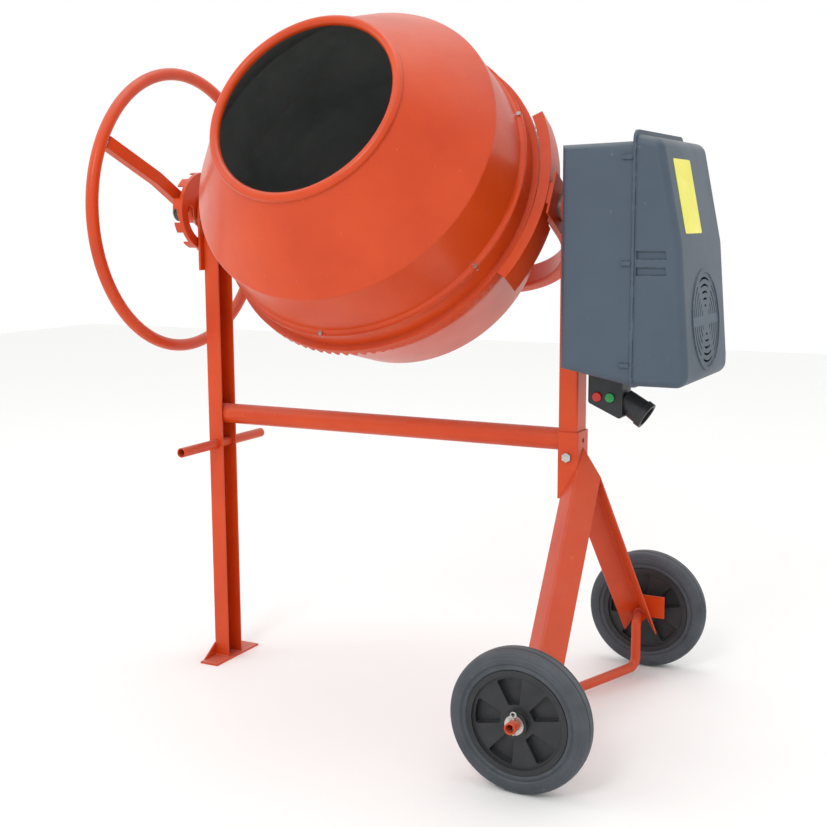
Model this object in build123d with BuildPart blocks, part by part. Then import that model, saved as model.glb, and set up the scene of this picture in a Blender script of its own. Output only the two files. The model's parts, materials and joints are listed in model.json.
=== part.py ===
from build123d import *
import os
from math import cos, pi, radians, sin, sqrt, tan

# Tilting-drum concrete mixer on a two-wheeled stand.
# Millimetres, +Z up. The origin is on the ground, below the tilt axis, half way along the
# overall length. +X runs from the tipping handwheel to the drive box, -Y is the mouth side.

os.makedirs("parts", exist_ok=True)

# ---- driving dimensions: stand -------------------------------------------------------------
axis_z = 967.0                 # height of the tilt axis
drum_x = -58.0                 # where the drum's axis crosses the tilt axis
rest_tilt = 29.5               # the drum axis rises towards the mouth by this angle at rest
left_web_x = -490.0            # outer face of the left upright's web
right_web_x = 345.0            # outer face of the right upright's web
channel_depth = 50.0           # pressed channel, size along Y
channel_flange = 36.0          # pressed channel, size along X
channel_wall = 3.0
channel_bend = 4.0
upright_top = axis_z - 45.0
right_upright_bottom = 435.0
foot_thickness = 4.0
foot_length = 156.0
foot_width = 44.0
gusset_reach = 42.0
gusset_height = 28.0
bolt_inset = 15.0              # a plate's bolt holes lie this far from its end
plate_bolt_y = 13.0            # paired bolts lie this far each side of the middle
tie_bar_z = 540.0
tie_bar_radius = 21.0
tie_bar_wall = 2.5
tie_plate_height = 80.0
tie_plate_thickness = 4.0
tie_bolt_spacing = 60.0
tie_bolt_radius = 4.0
handle_z = 475.0
handle_radius = 10.0
handle_wall = 2.0
handle_length = 290.0
sleeve_wall = 3.0
sleeve_bottom = 432.0
sleeve_top = 558.0
sleeve_bolt_z = 511.0
sleeve_bolt_radius = 5.0
sleeve_hole_radius = 5.0
plate_fit = 0.2                # gap between pressed plates slid over one another
hole_clearance = 0.3           # added to a bolt's or tube's radius for its hole

# ---- driving dimensions: legs, axle and wheels ----------------------------------------------
leg_flange = 50.0              # equal angle iron, ridge outwards
leg_wall = 3.0
leg_bend = 5.0                 # outer radius of the ridge
leg_top_z = 495.0
leg_foot_x = 370.0
leg_foot_y = 306.0
leg_foot_z = 140.0
bracket_thickness = 4.0
bracket_width = 82.0
bracket_height = 46.0
bracket_top = 166.0
bracket_shift = 9.0            # the plate's middle lies this far outside the axle
bracket_boss_radius = 15.0
bracket_boss_length = 8.0
wheel_radius = 125.0
wheel_x = 372.0
wheel_y = 350.0                # mid plane of each wheel
tyre_width = 45.0
tyre_shoulder = 0.12 * wheel_radius
rim_radius = 0.72 * wheel_radius  # where the tyre sits on the hub
rim_wall = 9.0
hub_radius = 21.0
hub_length = 52.0
hub_web = 30.0
hub_pocket_depth = 12.0
hub_blades = 5
axle_radius = 10.0
axle_wall = 2.5
axle_end_y = 396.0
axle_drop_y = 273.0
axle_low_z = 20.0
axle_low_x = 277.0
axle_bend = 20.0
axle_middle_bend = 90.0
running_fit = 0.05             # radial gap of a turning fit
washer_thickness = 2.0
washer_radius = 17.0
split_pin_radius = 1.8
pin_eye = 4.6                  # ring radius of a split pin's eye

# ---- driving dimensions: trunnions, handwheel and lock --------------------------------------
trunnion_radius = 25.0         # right trunnion, a tube round the pinion shaft
trunnion_neck = 22.0           # the trunnion's thinner end inside the yoke's arm
trunnion_bore = 17.5
left_shaft_radius = 15.0
left_shaft_end_x = -575.0
bearing_plate_thickness = 5.0
bearing_plate_width = 70.0
bearing_plate_bottom = axis_z - 122.0
housing_wall = 6.0
bush_wall = 3.0
lock_disc_radius = 81.0
lock_disc_wall = 3.0
lock_disc_depth = 24.0
lock_disc_gap = 4.0            # from the bearing plate to the disc's floor
lock_notches = 10
lock_notch_depth = 15.0
notch_fit = 1.0                # gap each side of the spoke in its notch
ring_x = -560.0
ring_radius = 284.0
ring_tube_radius = 12.5
spoke_width = 26.0
spoke_depth = 18.0
spoke_wall = 2.5
spoke_lift = 3.0               # the spoke stands this far outside the disc's rim at rest
spoke_knee = 135.0             # radius where the spoke starts to lean out to the ring
wheel_hub_radius = 24.0
wheel_hub_length = 38.0
spring_pocket = 20.0
spring_length = 20.0
spring_wire = 2.0
spring_turns = 4

# ---- driving dimensions: yoke and drum ------------------------------------------------------
yoke_half_width = 343.0
yoke_depth = 302.0
yoke_corner = 238.0
yoke_width = 50.0
yoke_thickness = 25.0
yoke_wall = 3.0
yoke_edge = 6.0                # rounded corners of the yoke's tube
yoke_arm_end = 25.0
drum_wall = 2.5
mouth_bead_radius = 9.0
mouth_radius = 178.5           # centre line of the rolled bead
mouth_level = 354.0            # levels are measured along the drum's axis from the tilt axis
shoulder_radius = 301.0
shoulder_level = 213.0
shoulder_bend = 8.0
drum_radius = 306.0
flange_level = 93.3
flange_reach = 10.0
flange_thickness = 3.0
belly_level = 0.0
lower_radius = 256.0
lower_level = -165.0
bottom_radius = 190.0
bottom_level = -215.0
flange_bolts = 6
flange_bolt_turn = -33.0       # degrees from +X round the drum's axis
flange_bolt_radius = 2.5
blade_depth = 62.0
blade_wall = 3.0
blade_count = 2
blade_turn = 60.0
blade_fit = 0.6
drum_hub_radius = 32.0
drum_hub_flange = 62.0
drum_hub_length = 58.0
spindle_radius = 12.5
drum_bearing_radius = 26.0
drum_bearing_width = 15.0

# ---- driving dimensions: ring gear, pinion and guard ----------------------------------------
pinion_teeth = 12
gear_teeth = 108
gear_inner = 307.0
gear_outer = 325.0
gear_plate = 10.0
gear_skirt_outer = 312.5
addendum = 4.2
dedendum = 6.3
backlash = 1.0
flank_angle = 20.0
pinion_length = 18.0
pinion_shaft_radius = 7.5
pinion_bearing_width = 11.0
guard_radius = 350.0
guard_wall = 3.0
guard_half_angle = 29.5
guard_notch_angle = 7.2
guard_low = 5.0
guard_high = 58.0

# ---- driving dimensions: drive box ----------------------------------------------------------
box_back_x = right_web_x + bearing_plate_thickness
box_seam_x = 479.0
box_outer_low_x = 578.0        # outer face below its knee
box_outer_low_z = axis_z - 267.0        # the outer face leans in above this height
box_knee_x = 562.0             # where the outer face leans in more steeply
box_knee_z = axis_z - 62.0
box_knee_bend = 90.0
box_outer_high_x = 527.0       # outer face at the top
box_cover_end_z = axis_z + 112.0       # the cover's top falls to this height at the outer face
shell_top_fall = 4.0
box_half_depth = 139.0
box_bottom_z = axis_z - 303.0
box_back_bottom_z = axis_z - 278.0
box_shell_top_z = axis_z + 110.0
box_cover_top_z = axis_z + 120.0
rim_width = 5.0                # raised rim on the cover, along the seam
rim_proud = 3.0                # at the sides and below
rim_top_z = axis_z + 128.0
box_corner = 22.0              # the cover's corners seen from the side
box_wall = 3.0
box_round = 16.0
seam_gap = 0.4
vent_z = axis_z - 195.0
vent_radius = 86.0
vent_rings = (73.0, 61.0, 49.0, 37.0, 25.0)
vent_slot = 3.6                # width of the slots between the rings
vent_bar = 16.0                # width of the bars across the slots
band_low_z = axis_z - 114.0
band_high_z = axis_z - 73.0
band_depth = 4.5
band_ridge = 13.0              # height of the ridge left standing between two grooves
clip_length = 18.0
clip_height = 7.0
clip_heights = (axis_z - 267.0, axis_z - 94.0, axis_z + 83.0)
label_width = 100.0
label_height = 128.0
label_z = axis_z + 18.0
label_y = -44.0
label_thickness = 0.8
pulley_x = 366.0               # inner face of the big pulley
pulley_width = 18.0
small_pulley_radius = 8.5
pulley_ratio = 11.5
belt_thickness = 4.0
belt_width = 14.0
belt_fit = 0.3
motor_z = axis_z - 195.0
motor_radius = 56.0
motor_start_x = 402.0
motor_length = 96.0
motor_shaft_radius = 6.0
bracket_wall = 3.0
motor_fins = 28
fan_radius = 50.0
switch_left_x = 378.0
switch_right_x = 442.0
switch_low_z = axis_z - 375.0  # the switch's underside slopes up from here to its left edge
switch_left_low_z = axis_z - 346.0
switch_front_y = -60.0
switch_depth = 48.0
button_z = axis_z - 335.0
button_radius = 8.5
button_fit = 0.4
button_reach = 4.0
button_travel = 3.0
button_pocket = 12.0
inlet_slope = 33.0             # the inlet points down and outwards by this angle
inlet_length = 50.0
inlet_radius = 25.0
inlet_collar = 12.0
inlet_pin_radius = 2.4

# ---- worked-out places ----------------------------------------------------------------------
rise = radians(rest_tilt)
drum_dir = Vector(0, -cos(rise), sin(rise))       # towards the mouth
up_dir = Vector(0, sin(rise), cos(rise))          # square to the drum's axis and to X
tilt_centre = Vector(drum_x, 0, axis_z)
drum_axis = Axis(tilt_centre, drum_dir)
yoke_arm_out_x = drum_x + yoke_half_width + yoke_thickness / 2
yoke_arm_in_x = drum_x + yoke_half_width - yoke_thickness / 2
yoke_left_out_x = drum_x - yoke_half_width - yoke_thickness / 2
gear_mean = (gear_inner + gear_outer) / 2
pinion_pitch = gear_mean * pinion_teeth / gear_teeth
gear_root_level = pinion_pitch + dedendum
sleeve_out_x = right_web_x + plate_fit + sleeve_wall
sleeve_out_y = channel_depth / 2 + plate_fit + sleeve_wall
handle_x = left_web_x + channel_flange / 2
disc_floor_x = left_web_x - bearing_plate_thickness - lock_disc_gap
disc_rim_x = disc_floor_x - lock_disc_depth
spoke_x = disc_rim_x - spoke_lift - spoke_depth / 2
wheel_hub_start_x = disc_floor_x - 19.0
big_pulley_radius = small_pulley_radius * pulley_ratio
ALONG_X = (0, 90, 0)
ALONG_Y = (90, 0, 0)


def finish(piece, name):
    """Label a finished sub-part and write its file."""
    piece.part.label = name
    export_step(piece.part, f"parts/{name}.step")


def rod(start, end, radius, mode=Mode.ADD):
    """A round bar between two points."""
    line = Vector(*end) - Vector(*start)
    with BuildSketch(Plane(origin=start, z_dir=line)) as section:
        Circle(radius)
    extrude(section.sketch, amount=line.length, mode=mode)


def tube(start, end, radius, bore):
    """A round tube between two points."""
    line = Vector(*end) - Vector(*start)
    with BuildSketch(Plane(origin=start, z_dir=line)) as section:
        Circle(radius)
        Circle(bore, mode=Mode.SUBTRACT)
    extrude(section.sketch, amount=line.length)


def hexagon_bar(start, end, across):
    """A hexagon bar between two points, for bolt heads and nuts."""
    line = Vector(*end) - Vector(*start)
    with BuildSketch(Plane(origin=start, z_dir=line)) as section:
        RegularPolygon(across / 2, 6, major_radius=False)
    extrude(section.sketch, amount=line.length)


def block(low, high, mode=Mode.ADD):
    """A square-edged block between two corners."""
    middle = tuple((a + b) / 2 for a, b in zip(low, high))
    with Locations(middle):
        Box(*[b - a for a, b in zip(low, high)], mode=mode)


def bolt(start, end, radius):
    """A hexagon bolt that clamps from start, below its head, to end, below its nut."""
    way = (Vector(*end) - Vector(*start)).normalized()
    tip = Vector(*end) + way * radius * 2.0
    rod(start, tip, radius)
    hexagon_bar(Vector(*start) - way * radius * 1.3, start, radius * 3.2)
    hexagon_bar(end, Vector(*end) + way * radius * 1.5, radius * 3.2)


def radial_dir(turn):
    """Direction square to the drum's axis, turned from +X round that axis."""
    return Vector(1, 0, 0) * cos(radians(turn)) + up_dir * sin(radians(turn))


def drum_level(level, turn=0.0):
    """Plane square to the drum's axis at a level, its x turned from +X."""
    return Plane(origin=tilt_centre + drum_dir * level, x_dir=radial_dir(turn), z_dir=drum_dir)


def radial_plane(turn):
    """Plane through the drum's axis: local x is the radius and local y the level."""
    across = radial_dir(turn)
    return Plane(origin=tilt_centre, x_dir=across, z_dir=across.cross(drum_dir))


def drum_point(radius, turn, level):
    """A point given by radius, angle from +X and level in the drum's own frame."""
    return tilt_centre + radial_dir(turn) * radius + drum_dir * level


section_plane = radial_plane(0)


# ---- stand ----------------------------------------------------------------------------------
def channel(web_x, inward, bottom, top):
    """Pressed channel standing on its end, its flanges pointing inward along X."""
    with BuildSketch(Plane.XY.offset(bottom)) as section:
        with Locations((web_x + inward * channel_flange / 2, 0)):
            Rectangle(channel_flange, channel_depth)
        web_side = section.vertices().sort_by(Axis.X, reverse=inward < 0)[0:2]
        fillet(web_side, channel_bend)
        with Locations((web_x + inward * (channel_flange / 2 + channel_wall), 0)):
            Rectangle(channel_flange, channel_depth - 2 * channel_wall, mode=Mode.SUBTRACT)
    extrude(section.sketch, amount=top - bottom)


def tie_bolt_spots():
    """The two bolts of the tie bar's left plate, below and above the bar."""
    return [(0, tie_bar_z - tie_bolt_spacing / 2), (0, tie_bar_z + tie_bolt_spacing / 2)]


def bearing_bolt_spots():
    """The two bolts that hold each bearing plate to its upright."""
    return [(side * plate_bolt_y, bearing_plate_bottom + bolt_inset) for side in (-1, 1)]


def bracket_bolt_spots():
    """Four bolts that hold the motor bracket and the box's back to the right upright."""
    heights = (motor_z - 57.0, motor_z + 28.0)
    return [(side * plate_bolt_y, z) for side in (-1, 1) for z in heights]


def holes_along_x(x, spots, depth):
    """Bolt holes along X through a plate at x, at a list of (y, z) places."""
    for y, z in spots:
        with Locations(Location((x, y, z), ALONG_X)):
            Cylinder(tie_bolt_radius + hole_clearance, depth, mode=Mode.SUBTRACT)


def make_left_upright():
    with BuildPart() as left_upright:
        channel(left_web_x, 1, foot_thickness, upright_top)
        holes_along_x(left_web_x, tie_bolt_spots() + bearing_bolt_spots(), channel_wall * 4)
        with Locations(Location((handle_x, 0, handle_z), ALONG_Y)):
            Cylinder(handle_radius, channel_depth * 2, mode=Mode.SUBTRACT)
    finish(left_upright, "left_upright")


def make_left_foot():
    """Ground plate with a small upright gusset each side of the channel."""
    with BuildPart() as left_foot:
        block(
            (left_web_x, -foot_length / 2, 0),
            (left_web_x + foot_width, foot_length / 2, foot_thickness),
        )
        for side in (-1, 1):
            inner = side * channel_depth / 2
            with BuildSketch(Plane.YZ.offset(left_web_x)):
                with BuildLine():
                    Polyline(
                        (inner, foot_thickness),
                        (inner + side * gusset_reach, foot_thickness),
                        (inner, foot_thickness + gusset_height),
                        close=True,
                    )
                make_face()
            extrude(amount=channel_wall)
    finish(left_foot, "left_foot")


def make_right_upright():
    with BuildPart() as right_upright:
        channel(right_web_x, -1, right_upright_bottom, upright_top)
        holes_along_x(right_web_x, bearing_bolt_spots() + bracket_bolt_spots(), channel_wall * 4)
        sleeve_bolt_hole()
        with Locations(Location((right_web_x, 0, tie_bar_z), ALONG_X)):
            Cylinder(sleeve_hole_radius, channel_wall * 4, mode=Mode.SUBTRACT)
    finish(right_upright, "right_upright")


def sleeve_bolt_hole():
    """Cross hole for the bolt that pins the sleeve to the right upright."""
    with Locations(Location((right_web_x - channel_flange / 2, 0, sleeve_bolt_z), ALONG_Y)):
        Cylinder(sleeve_bolt_radius + hole_clearance, channel_depth * 2, mode=Mode.SUBTRACT)


def make_leg_sleeve():
    """Pressed U sleeve round the right upright's lower end, the root of both wheel legs."""
    with BuildPart() as leg_sleeve:
        block(
            (right_web_x - channel_flange, -sleeve_out_y, sleeve_bottom),
            (sleeve_out_x, sleeve_out_y, sleeve_top),
        )
        corners = leg_sleeve.edges().filter_by(Axis.Z).sort_by(Axis.X)[2:4]
        fillet(corners, channel_bend)
        inner_y = channel_depth / 2 + plate_fit
        block(
            (right_web_x - channel_flange * 2, -inner_y, sleeve_bottom - 1),
            (right_web_x + plate_fit, inner_y, sleeve_top + 1),
            mode=Mode.SUBTRACT,
        )
        sleeve_bolt_hole()
        with Locations(Location((right_web_x, 0, tie_bar_z), ALONG_X)):
            Cylinder(sleeve_hole_radius, channel_wall * 6, mode=Mode.SUBTRACT)
    finish(leg_sleeve, "leg_sleeve")


def make_tie_bar():
    """Round tube between the uprights: plates on its ends, bolted left and welded right."""
    left_x = left_web_x + channel_wall
    right_x = right_web_x - channel_wall
    half_width = (channel_depth - 2 * channel_wall) / 2 - 0.5
    with BuildPart() as tie_bar:
        tube(
            (left_x + tie_plate_thickness, 0, tie_bar_z),
            (right_x - tie_plate_thickness, 0, tie_bar_z),
            tie_bar_radius,
            tie_bar_radius - tie_bar_wall,
        )
        for x in (left_x, right_x - tie_plate_thickness):
            block(
                (x, -half_width, tie_bar_z - tie_plate_height / 2),
                (x + tie_plate_thickness, half_width, tie_bar_z + tie_plate_height / 2),
            )
        holes_along_x(left_x, tie_bolt_spots(), tie_plate_thickness * 3)
    finish(tie_bar, "tie_bar")


def make_pull_handle():
    with BuildPart() as pull_handle:
        tube(
            (handle_x, -handle_length / 2, handle_z),
            (handle_x, handle_length / 2, handle_z),
            handle_radius,
            handle_radius - handle_wall,
        )
    finish(pull_handle, "pull_handle")


def make_leg(side, name):
    """Angle-iron wheel leg, ridge outwards, mitred to its twin and cut round the sleeve."""
    ridge_top = Vector(sleeve_out_x, side * sleeve_out_y, leg_top_z)
    ridge_foot = Vector(leg_foot_x, side * leg_foot_y, leg_foot_z)
    way = (ridge_foot - ridge_top).normalized()
    overrun = 60.0
    reach = leg_flange / sqrt(2)
    skin = leg_wall / sqrt(2)
    lean = Vector(1, 0, 0) - way * way.X
    start = Plane(origin=ridge_top - way * overrun, x_dir=lean, z_dir=way)
    with BuildPart() as leg:
        with BuildSketch(start) as section:
            with BuildLine():
                Polyline(
                    (0, 0),
                    (reach, side * reach),
                    (reach - skin, side * (reach + skin)),
                    (0, side * 2 * skin),
                    (skin - reach, side * (reach + skin)),
                    (-reach, side * reach),
                    close=True,
                )
            make_face()
            fillet(section.vertices().sort_by_distance((0, 0, 0))[1], leg_bend - leg_wall)
            fillet(section.vertices().sort_by_distance((0, 0, 0))[0], leg_bend)
        extrude(amount=(ridge_foot - ridge_top).length + 2 * overrun)
        far = 500.0
        low_y, high_y = sorted((0, -side * far))
        block((0, low_y, 0), (far * 2, high_y, far * 2), mode=Mode.SUBTRACT)
        block(
            (right_web_x - far, -sleeve_out_y, sleeve_bottom),
            (sleeve_out_x, sleeve_out_y, far * 2),
            mode=Mode.SUBTRACT,
        )
        plate_y = leg_foot_y - bracket_thickness
        low_y, high_y = sorted((side * plate_y, side * far))
        block((0, low_y, -far), (far * 2, high_y, far * 2), mode=Mode.SUBTRACT)
        rod(
            (wheel_x, side * (plate_y - bracket_boss_length - 2), wheel_radius),
            (wheel_x, side * far, wheel_radius),
            bracket_boss_radius + hole_clearance,
            mode=Mode.SUBTRACT,
        )
    finish(leg, name)


def make_axle_bracket(side, name):
    """Plate and boss welded on a leg's foot, which hold the cranked axle tube."""
    inner_y = side * (leg_foot_y - bracket_thickness)
    plane = Plane(origin=(wheel_x, inner_y, 0), x_dir=(1, 0, 0), z_dir=(0, -1, 0))
    with BuildPart() as bracket:
        with BuildSketch(plane):
            with Locations((bracket_shift, bracket_top - bracket_height / 2)):
                Rectangle(bracket_width, bracket_height)
            with Locations((0, wheel_radius)):
                Circle(bracket_boss_radius)
        extrude(amount=-side * bracket_thickness)
        rod(
            (wheel_x, inner_y - side * bracket_boss_length, wheel_radius),
            (wheel_x, inner_y, wheel_radius),
            bracket_boss_radius,
        )
        with Locations(Location((wheel_x, inner_y, wheel_radius), ALONG_Y)):
            Cylinder(axle_radius, bracket_width, mode=Mode.SUBTRACT)
    finish(bracket, name)


def make_cranked_axle():
    """One bent tube: a stub for each wheel, two drops and a low run set back from the wheels."""
    low_run = [
        (wheel_x, axle_drop_y, axle_low_z),
        (axle_low_x, 0, axle_low_z),
        (wheel_x, -axle_drop_y, axle_low_z),
    ]
    with BuildPart() as cranked_axle:
        with BuildLine():
            FilletPolyline(
                (wheel_x, axle_end_y, wheel_radius),
                (wheel_x, axle_drop_y, wheel_radius),
                *low_run,
                (wheel_x, -axle_drop_y, wheel_radius),
                (wheel_x, -axle_end_y, wheel_radius),
                radius=[axle_bend, axle_bend, axle_middle_bend, axle_bend, axle_bend],
            )
        start = Plane(origin=(wheel_x, axle_end_y, wheel_radius), z_dir=(0, -1, 0))
        with BuildSketch(start):
            Circle(axle_radius)
            Circle(axle_radius - axle_wall, mode=Mode.SUBTRACT)
        sweep()
        for side in (-1, 1):
            pin_y = side * split_pin_y()
            with Locations((wheel_x, pin_y, wheel_radius)):
                Cylinder(split_pin_radius, wheel_radius / 2, mode=Mode.SUBTRACT)
    finish(cranked_axle, "cranked_axle")


# ---- wheels ---------------------------------------------------------------------------------
def hub_outer_y():
    return wheel_y + hub_length / 2


def split_pin_y():
    return hub_outer_y() + washer_thickness + split_pin_radius + 1.0


def wheel_section(side):
    """Half section plane of a wheel: local x is the radius, local y runs outwards along the axle."""
    return Plane(
        origin=(wheel_x, side * wheel_y, wheel_radius), x_dir=(1, 0, 0), z_dir=(0, 0, side)
    )


def wheel_axis(side):
    return Axis((wheel_x, side * wheel_y, wheel_radius), (0, side, 0))


def make_tyre(side, name):
    """Solid rubber tyre with rounded shoulders and a shallow moulded step on each side wall."""
    half = tyre_width / 2
    with BuildPart() as tyre:
        with BuildSketch(wheel_section(side)) as section:
            with Locations(((rim_radius + wheel_radius) / 2, 0)):
                Rectangle(wheel_radius - rim_radius, tyre_width)
            fillet(section.vertices().sort_by(Axis.X)[2:4], tyre_shoulder)
            for edge in (-1, 1):
                with Locations((rim_radius + 5.0, edge * half)):
                    Rectangle(3.0, 3.0, mode=Mode.SUBTRACT)
        revolve(axis=wheel_axis(side))
    finish(tyre, name)


def make_hub(side, name):
    """Moulded hub: boss, web with five pockets on each face, and the rim that holds the tyre."""
    half_web = hub_web / 2
    with BuildPart() as hub:
        with BuildSketch(wheel_section(side)):
            bore = axle_radius + running_fit
            with Locations(((bore + hub_radius) / 2, 0)):
                Rectangle(hub_radius - bore, hub_length)
            with Locations(((bore + rim_radius) / 2, 0)):
                Rectangle(rim_radius - bore, hub_web)
            with Locations((rim_radius - rim_wall / 2, 0)):
                Rectangle(rim_wall, tyre_width - 4.0)
        revolve(axis=wheel_axis(side))
        pocket_in = hub_radius + 9.0
        pocket_out = rim_radius - rim_wall - 5.0
        half_angle = 18.0
        for face in (-1, 1):
            outward = Plane(
                origin=(wheel_x, side * wheel_y + face * half_web, wheel_radius),
                x_dir=(1, 0, 0),
                z_dir=(0, face, 0),
            )
            for index in range(hub_blades):
                turn = 29.0 + index * 360.0 / hub_blades
                if face > 0:
                    turn = -turn
                with BuildSketch(outward) as pocket:
                    with BuildLine():
                        CenterArc((0, 0), pocket_in, turn - half_angle, 2 * half_angle)
                        CenterArc((0, 0), pocket_out, turn - half_angle, 2 * half_angle)
                        for way in (-1, 1):
                            spot = radians(turn + way * half_angle)
                            Line(
                                (pocket_in * cos(spot), pocket_in * sin(spot)),
                                (pocket_out * cos(spot), pocket_out * sin(spot)),
                            )
                    make_face()
                    fillet(pocket.vertices(), 4.0)
                extrude(amount=-hub_pocket_depth, mode=Mode.SUBTRACT)
    finish(hub, name)


def make_axle_hardware():
    """Spacers inside the wheels, washers outside them and the split pins that keep them on."""
    with BuildPart() as washers:
        for side in (-1, 1):
            tube(
                (wheel_x, side * leg_foot_y, wheel_radius),
                (wheel_x, side * (wheel_y - hub_length / 2 - plate_fit), wheel_radius),
                axle_radius + 4.0,
                axle_radius,
            )
            tube(
                (wheel_x, side * (hub_outer_y() + plate_fit), wheel_radius),
                (wheel_x, side * (hub_outer_y() + plate_fit + washer_thickness), wheel_radius),
                washer_radius,
                axle_radius,
            )
    finish(washers, "axle_washers")
    with BuildPart() as pins:
        for side in (-1, 1):
            low = wheel_radius - axle_radius - 6.0
            high = wheel_radius + axle_radius + 5.0
            pin_y = side * split_pin_y()
            rod((wheel_x, pin_y, low), (wheel_x, pin_y, high), split_pin_radius)
            with Locations(Location((wheel_x, pin_y, high + pin_eye - 1.0), ALONG_Y)):
                Torus(pin_eye, split_pin_radius - 0.3)
    finish(pins, "split_pins")


# ---- bearings of the tilt axis --------------------------------------------------------------
def make_bearing_block(web_x, outward, shaft_radius, inner_x, name):
    """Plate bolted on an upright's web, with a welded housing ring for the trunnion's bush."""
    plate_out_x = web_x + outward * bearing_plate_thickness
    ring_bore = shaft_radius + running_fit + bush_wall
    ring_out = ring_bore + housing_wall
    plane = Plane(origin=(web_x, 0, 0), x_dir=(0, outward, 0), z_dir=(outward, 0, 0))
    with BuildPart() as bearing_block:
        with BuildSketch(plane):
            middle_z = (bearing_plate_bottom + axis_z) / 2
            with Locations((0, middle_z)):
                Rectangle(bearing_plate_width, axis_z - bearing_plate_bottom)
            with Locations((0, axis_z)):
                Circle(bearing_plate_width / 2)
        extrude(amount=bearing_plate_thickness)
        rod((inner_x, 0, axis_z), (plate_out_x, 0, axis_z), ring_out)
        rod(
            (inner_x - outward * 20, 0, axis_z),
            (plate_out_x + outward * 20, 0, axis_z),
            ring_bore,
            mode=Mode.SUBTRACT,
        )
        holes_along_x(web_x, bearing_bolt_spots(), bearing_plate_thickness * 4)
        if outward < 0:
            holes_along_x(web_x, disc_bolt_spots(), bearing_plate_thickness * 4)
    finish(bearing_block, name)


def make_tilt_bearings():
    """Both bearing blocks, and the plain bushes pressed into their rings."""
    left_inner = left_web_x + channel_flange - 2.0
    right_inner = right_web_x - channel_flange + 2.0
    make_bearing_block(left_web_x, -1, left_shaft_radius, left_inner, "left_bearing_block")
    make_bearing_block(right_web_x, 1, trunnion_radius, right_inner, "right_bearing_block")
    with BuildPart() as bushes:
        for web_x, outward, shaft_radius, inner_x in (
            (left_web_x, -1, left_shaft_radius, left_inner),
            (right_web_x, 1, trunnion_radius, right_inner),
        ):
            tube(
                (inner_x, 0, axis_z),
                (web_x + outward * bearing_plate_thickness, 0, axis_z),
                shaft_radius + running_fit + bush_wall,
                shaft_radius + running_fit,
            )
    finish(bushes, "trunnion_bushes")


def make_locking_disc():
    """Pressed pot whose notched rim faces the handwheel; two windows lighten its floor."""
    rim_plane = Plane(origin=(disc_floor_x, 0, axis_z), x_dir=(0, -1, 0), z_dir=(-1, 0, 0))
    windows = [CenterArc((0, 0), 52.0, turn, 60.0) for turn in (-57.0, 123.0)]
    with BuildPart() as locking_disc:
        with BuildSketch(rim_plane):
            Circle(lock_disc_radius)
        extrude(amount=lock_disc_depth)
        with BuildSketch(rim_plane.offset(lock_disc_wall)):
            Circle(lock_disc_radius - lock_disc_wall)
        extrude(amount=lock_disc_depth, mode=Mode.SUBTRACT)
        with BuildSketch(rim_plane.offset(lock_disc_depth)):
            with PolarLocations(lock_disc_radius, lock_notches, start_angle=rest_tilt):
                Rectangle(lock_disc_wall * 6, spoke_width + 2 * notch_fit)
        extrude(amount=-lock_notch_depth, mode=Mode.SUBTRACT)
        with BuildSketch(rim_plane):
            Circle(left_shaft_radius + 4.0)
            for window in windows:
                SlotArc(window, 20.0)
        extrude(amount=lock_disc_wall, mode=Mode.SUBTRACT)
        holes_along_x(disc_floor_x, disc_bolt_spots(), lock_disc_wall * 4)
    finish(locking_disc, "locking_disc")


def disc_bolt_spots():
    """Two bolts with spacer collars between the bearing plate and the disc's floor."""
    return [(side * 26.0, axis_z - 18.0) for side in (-1, 1)]


def spacer(start_x, end_x, y, z):
    """A collar on a bolt along X."""
    tube((start_x, y, z), (end_x, y, z), tie_bolt_radius * 1.9, tie_bolt_radius + hole_clearance)


def make_stand_bolts():
    """Zinc bolts and collars of the stand: tie bar, bearing plates, disc, bracket and sleeve."""
    left_plate_x = left_web_x - bearing_plate_thickness
    left_inside_x = left_web_x + channel_wall
    right_inside_x = right_web_x - channel_wall
    box_inside_x = box_back_x + box_wall
    disc_inside_x = disc_floor_x - lock_disc_wall
    with BuildPart() as stand_bolts:
        for y, z in tie_bolt_spots():
            bolt((left_web_x, y, z), (left_inside_x + tie_plate_thickness, y, z), tie_bolt_radius)
        for y, z in bearing_bolt_spots():
            bolt((left_plate_x, y, z), (left_inside_x, y, z), tie_bolt_radius)
            bolt((box_inside_x, y, z), (right_inside_x, y, z), tie_bolt_radius)
        for y, z in disc_bolt_spots():
            bolt((disc_inside_x, y, z), (left_web_x, y, z), tie_bolt_radius)
            spacer(disc_floor_x, left_plate_x, y, z)
        for y, z in bracket_bolt_spots():
            bolt((box_inside_x + bracket_wall, y, z), (right_inside_x, y, z), tie_bolt_radius)
            spacer(right_web_x, box_back_x, y, z)
        cross_x = right_web_x - channel_flange / 2
        bolt(
            (cross_x, -sleeve_out_y, sleeve_bolt_z),
            (cross_x, sleeve_out_y, sleeve_bolt_z),
            sleeve_bolt_radius,
        )
    finish(stand_bolts, "stand_bolts")


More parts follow.
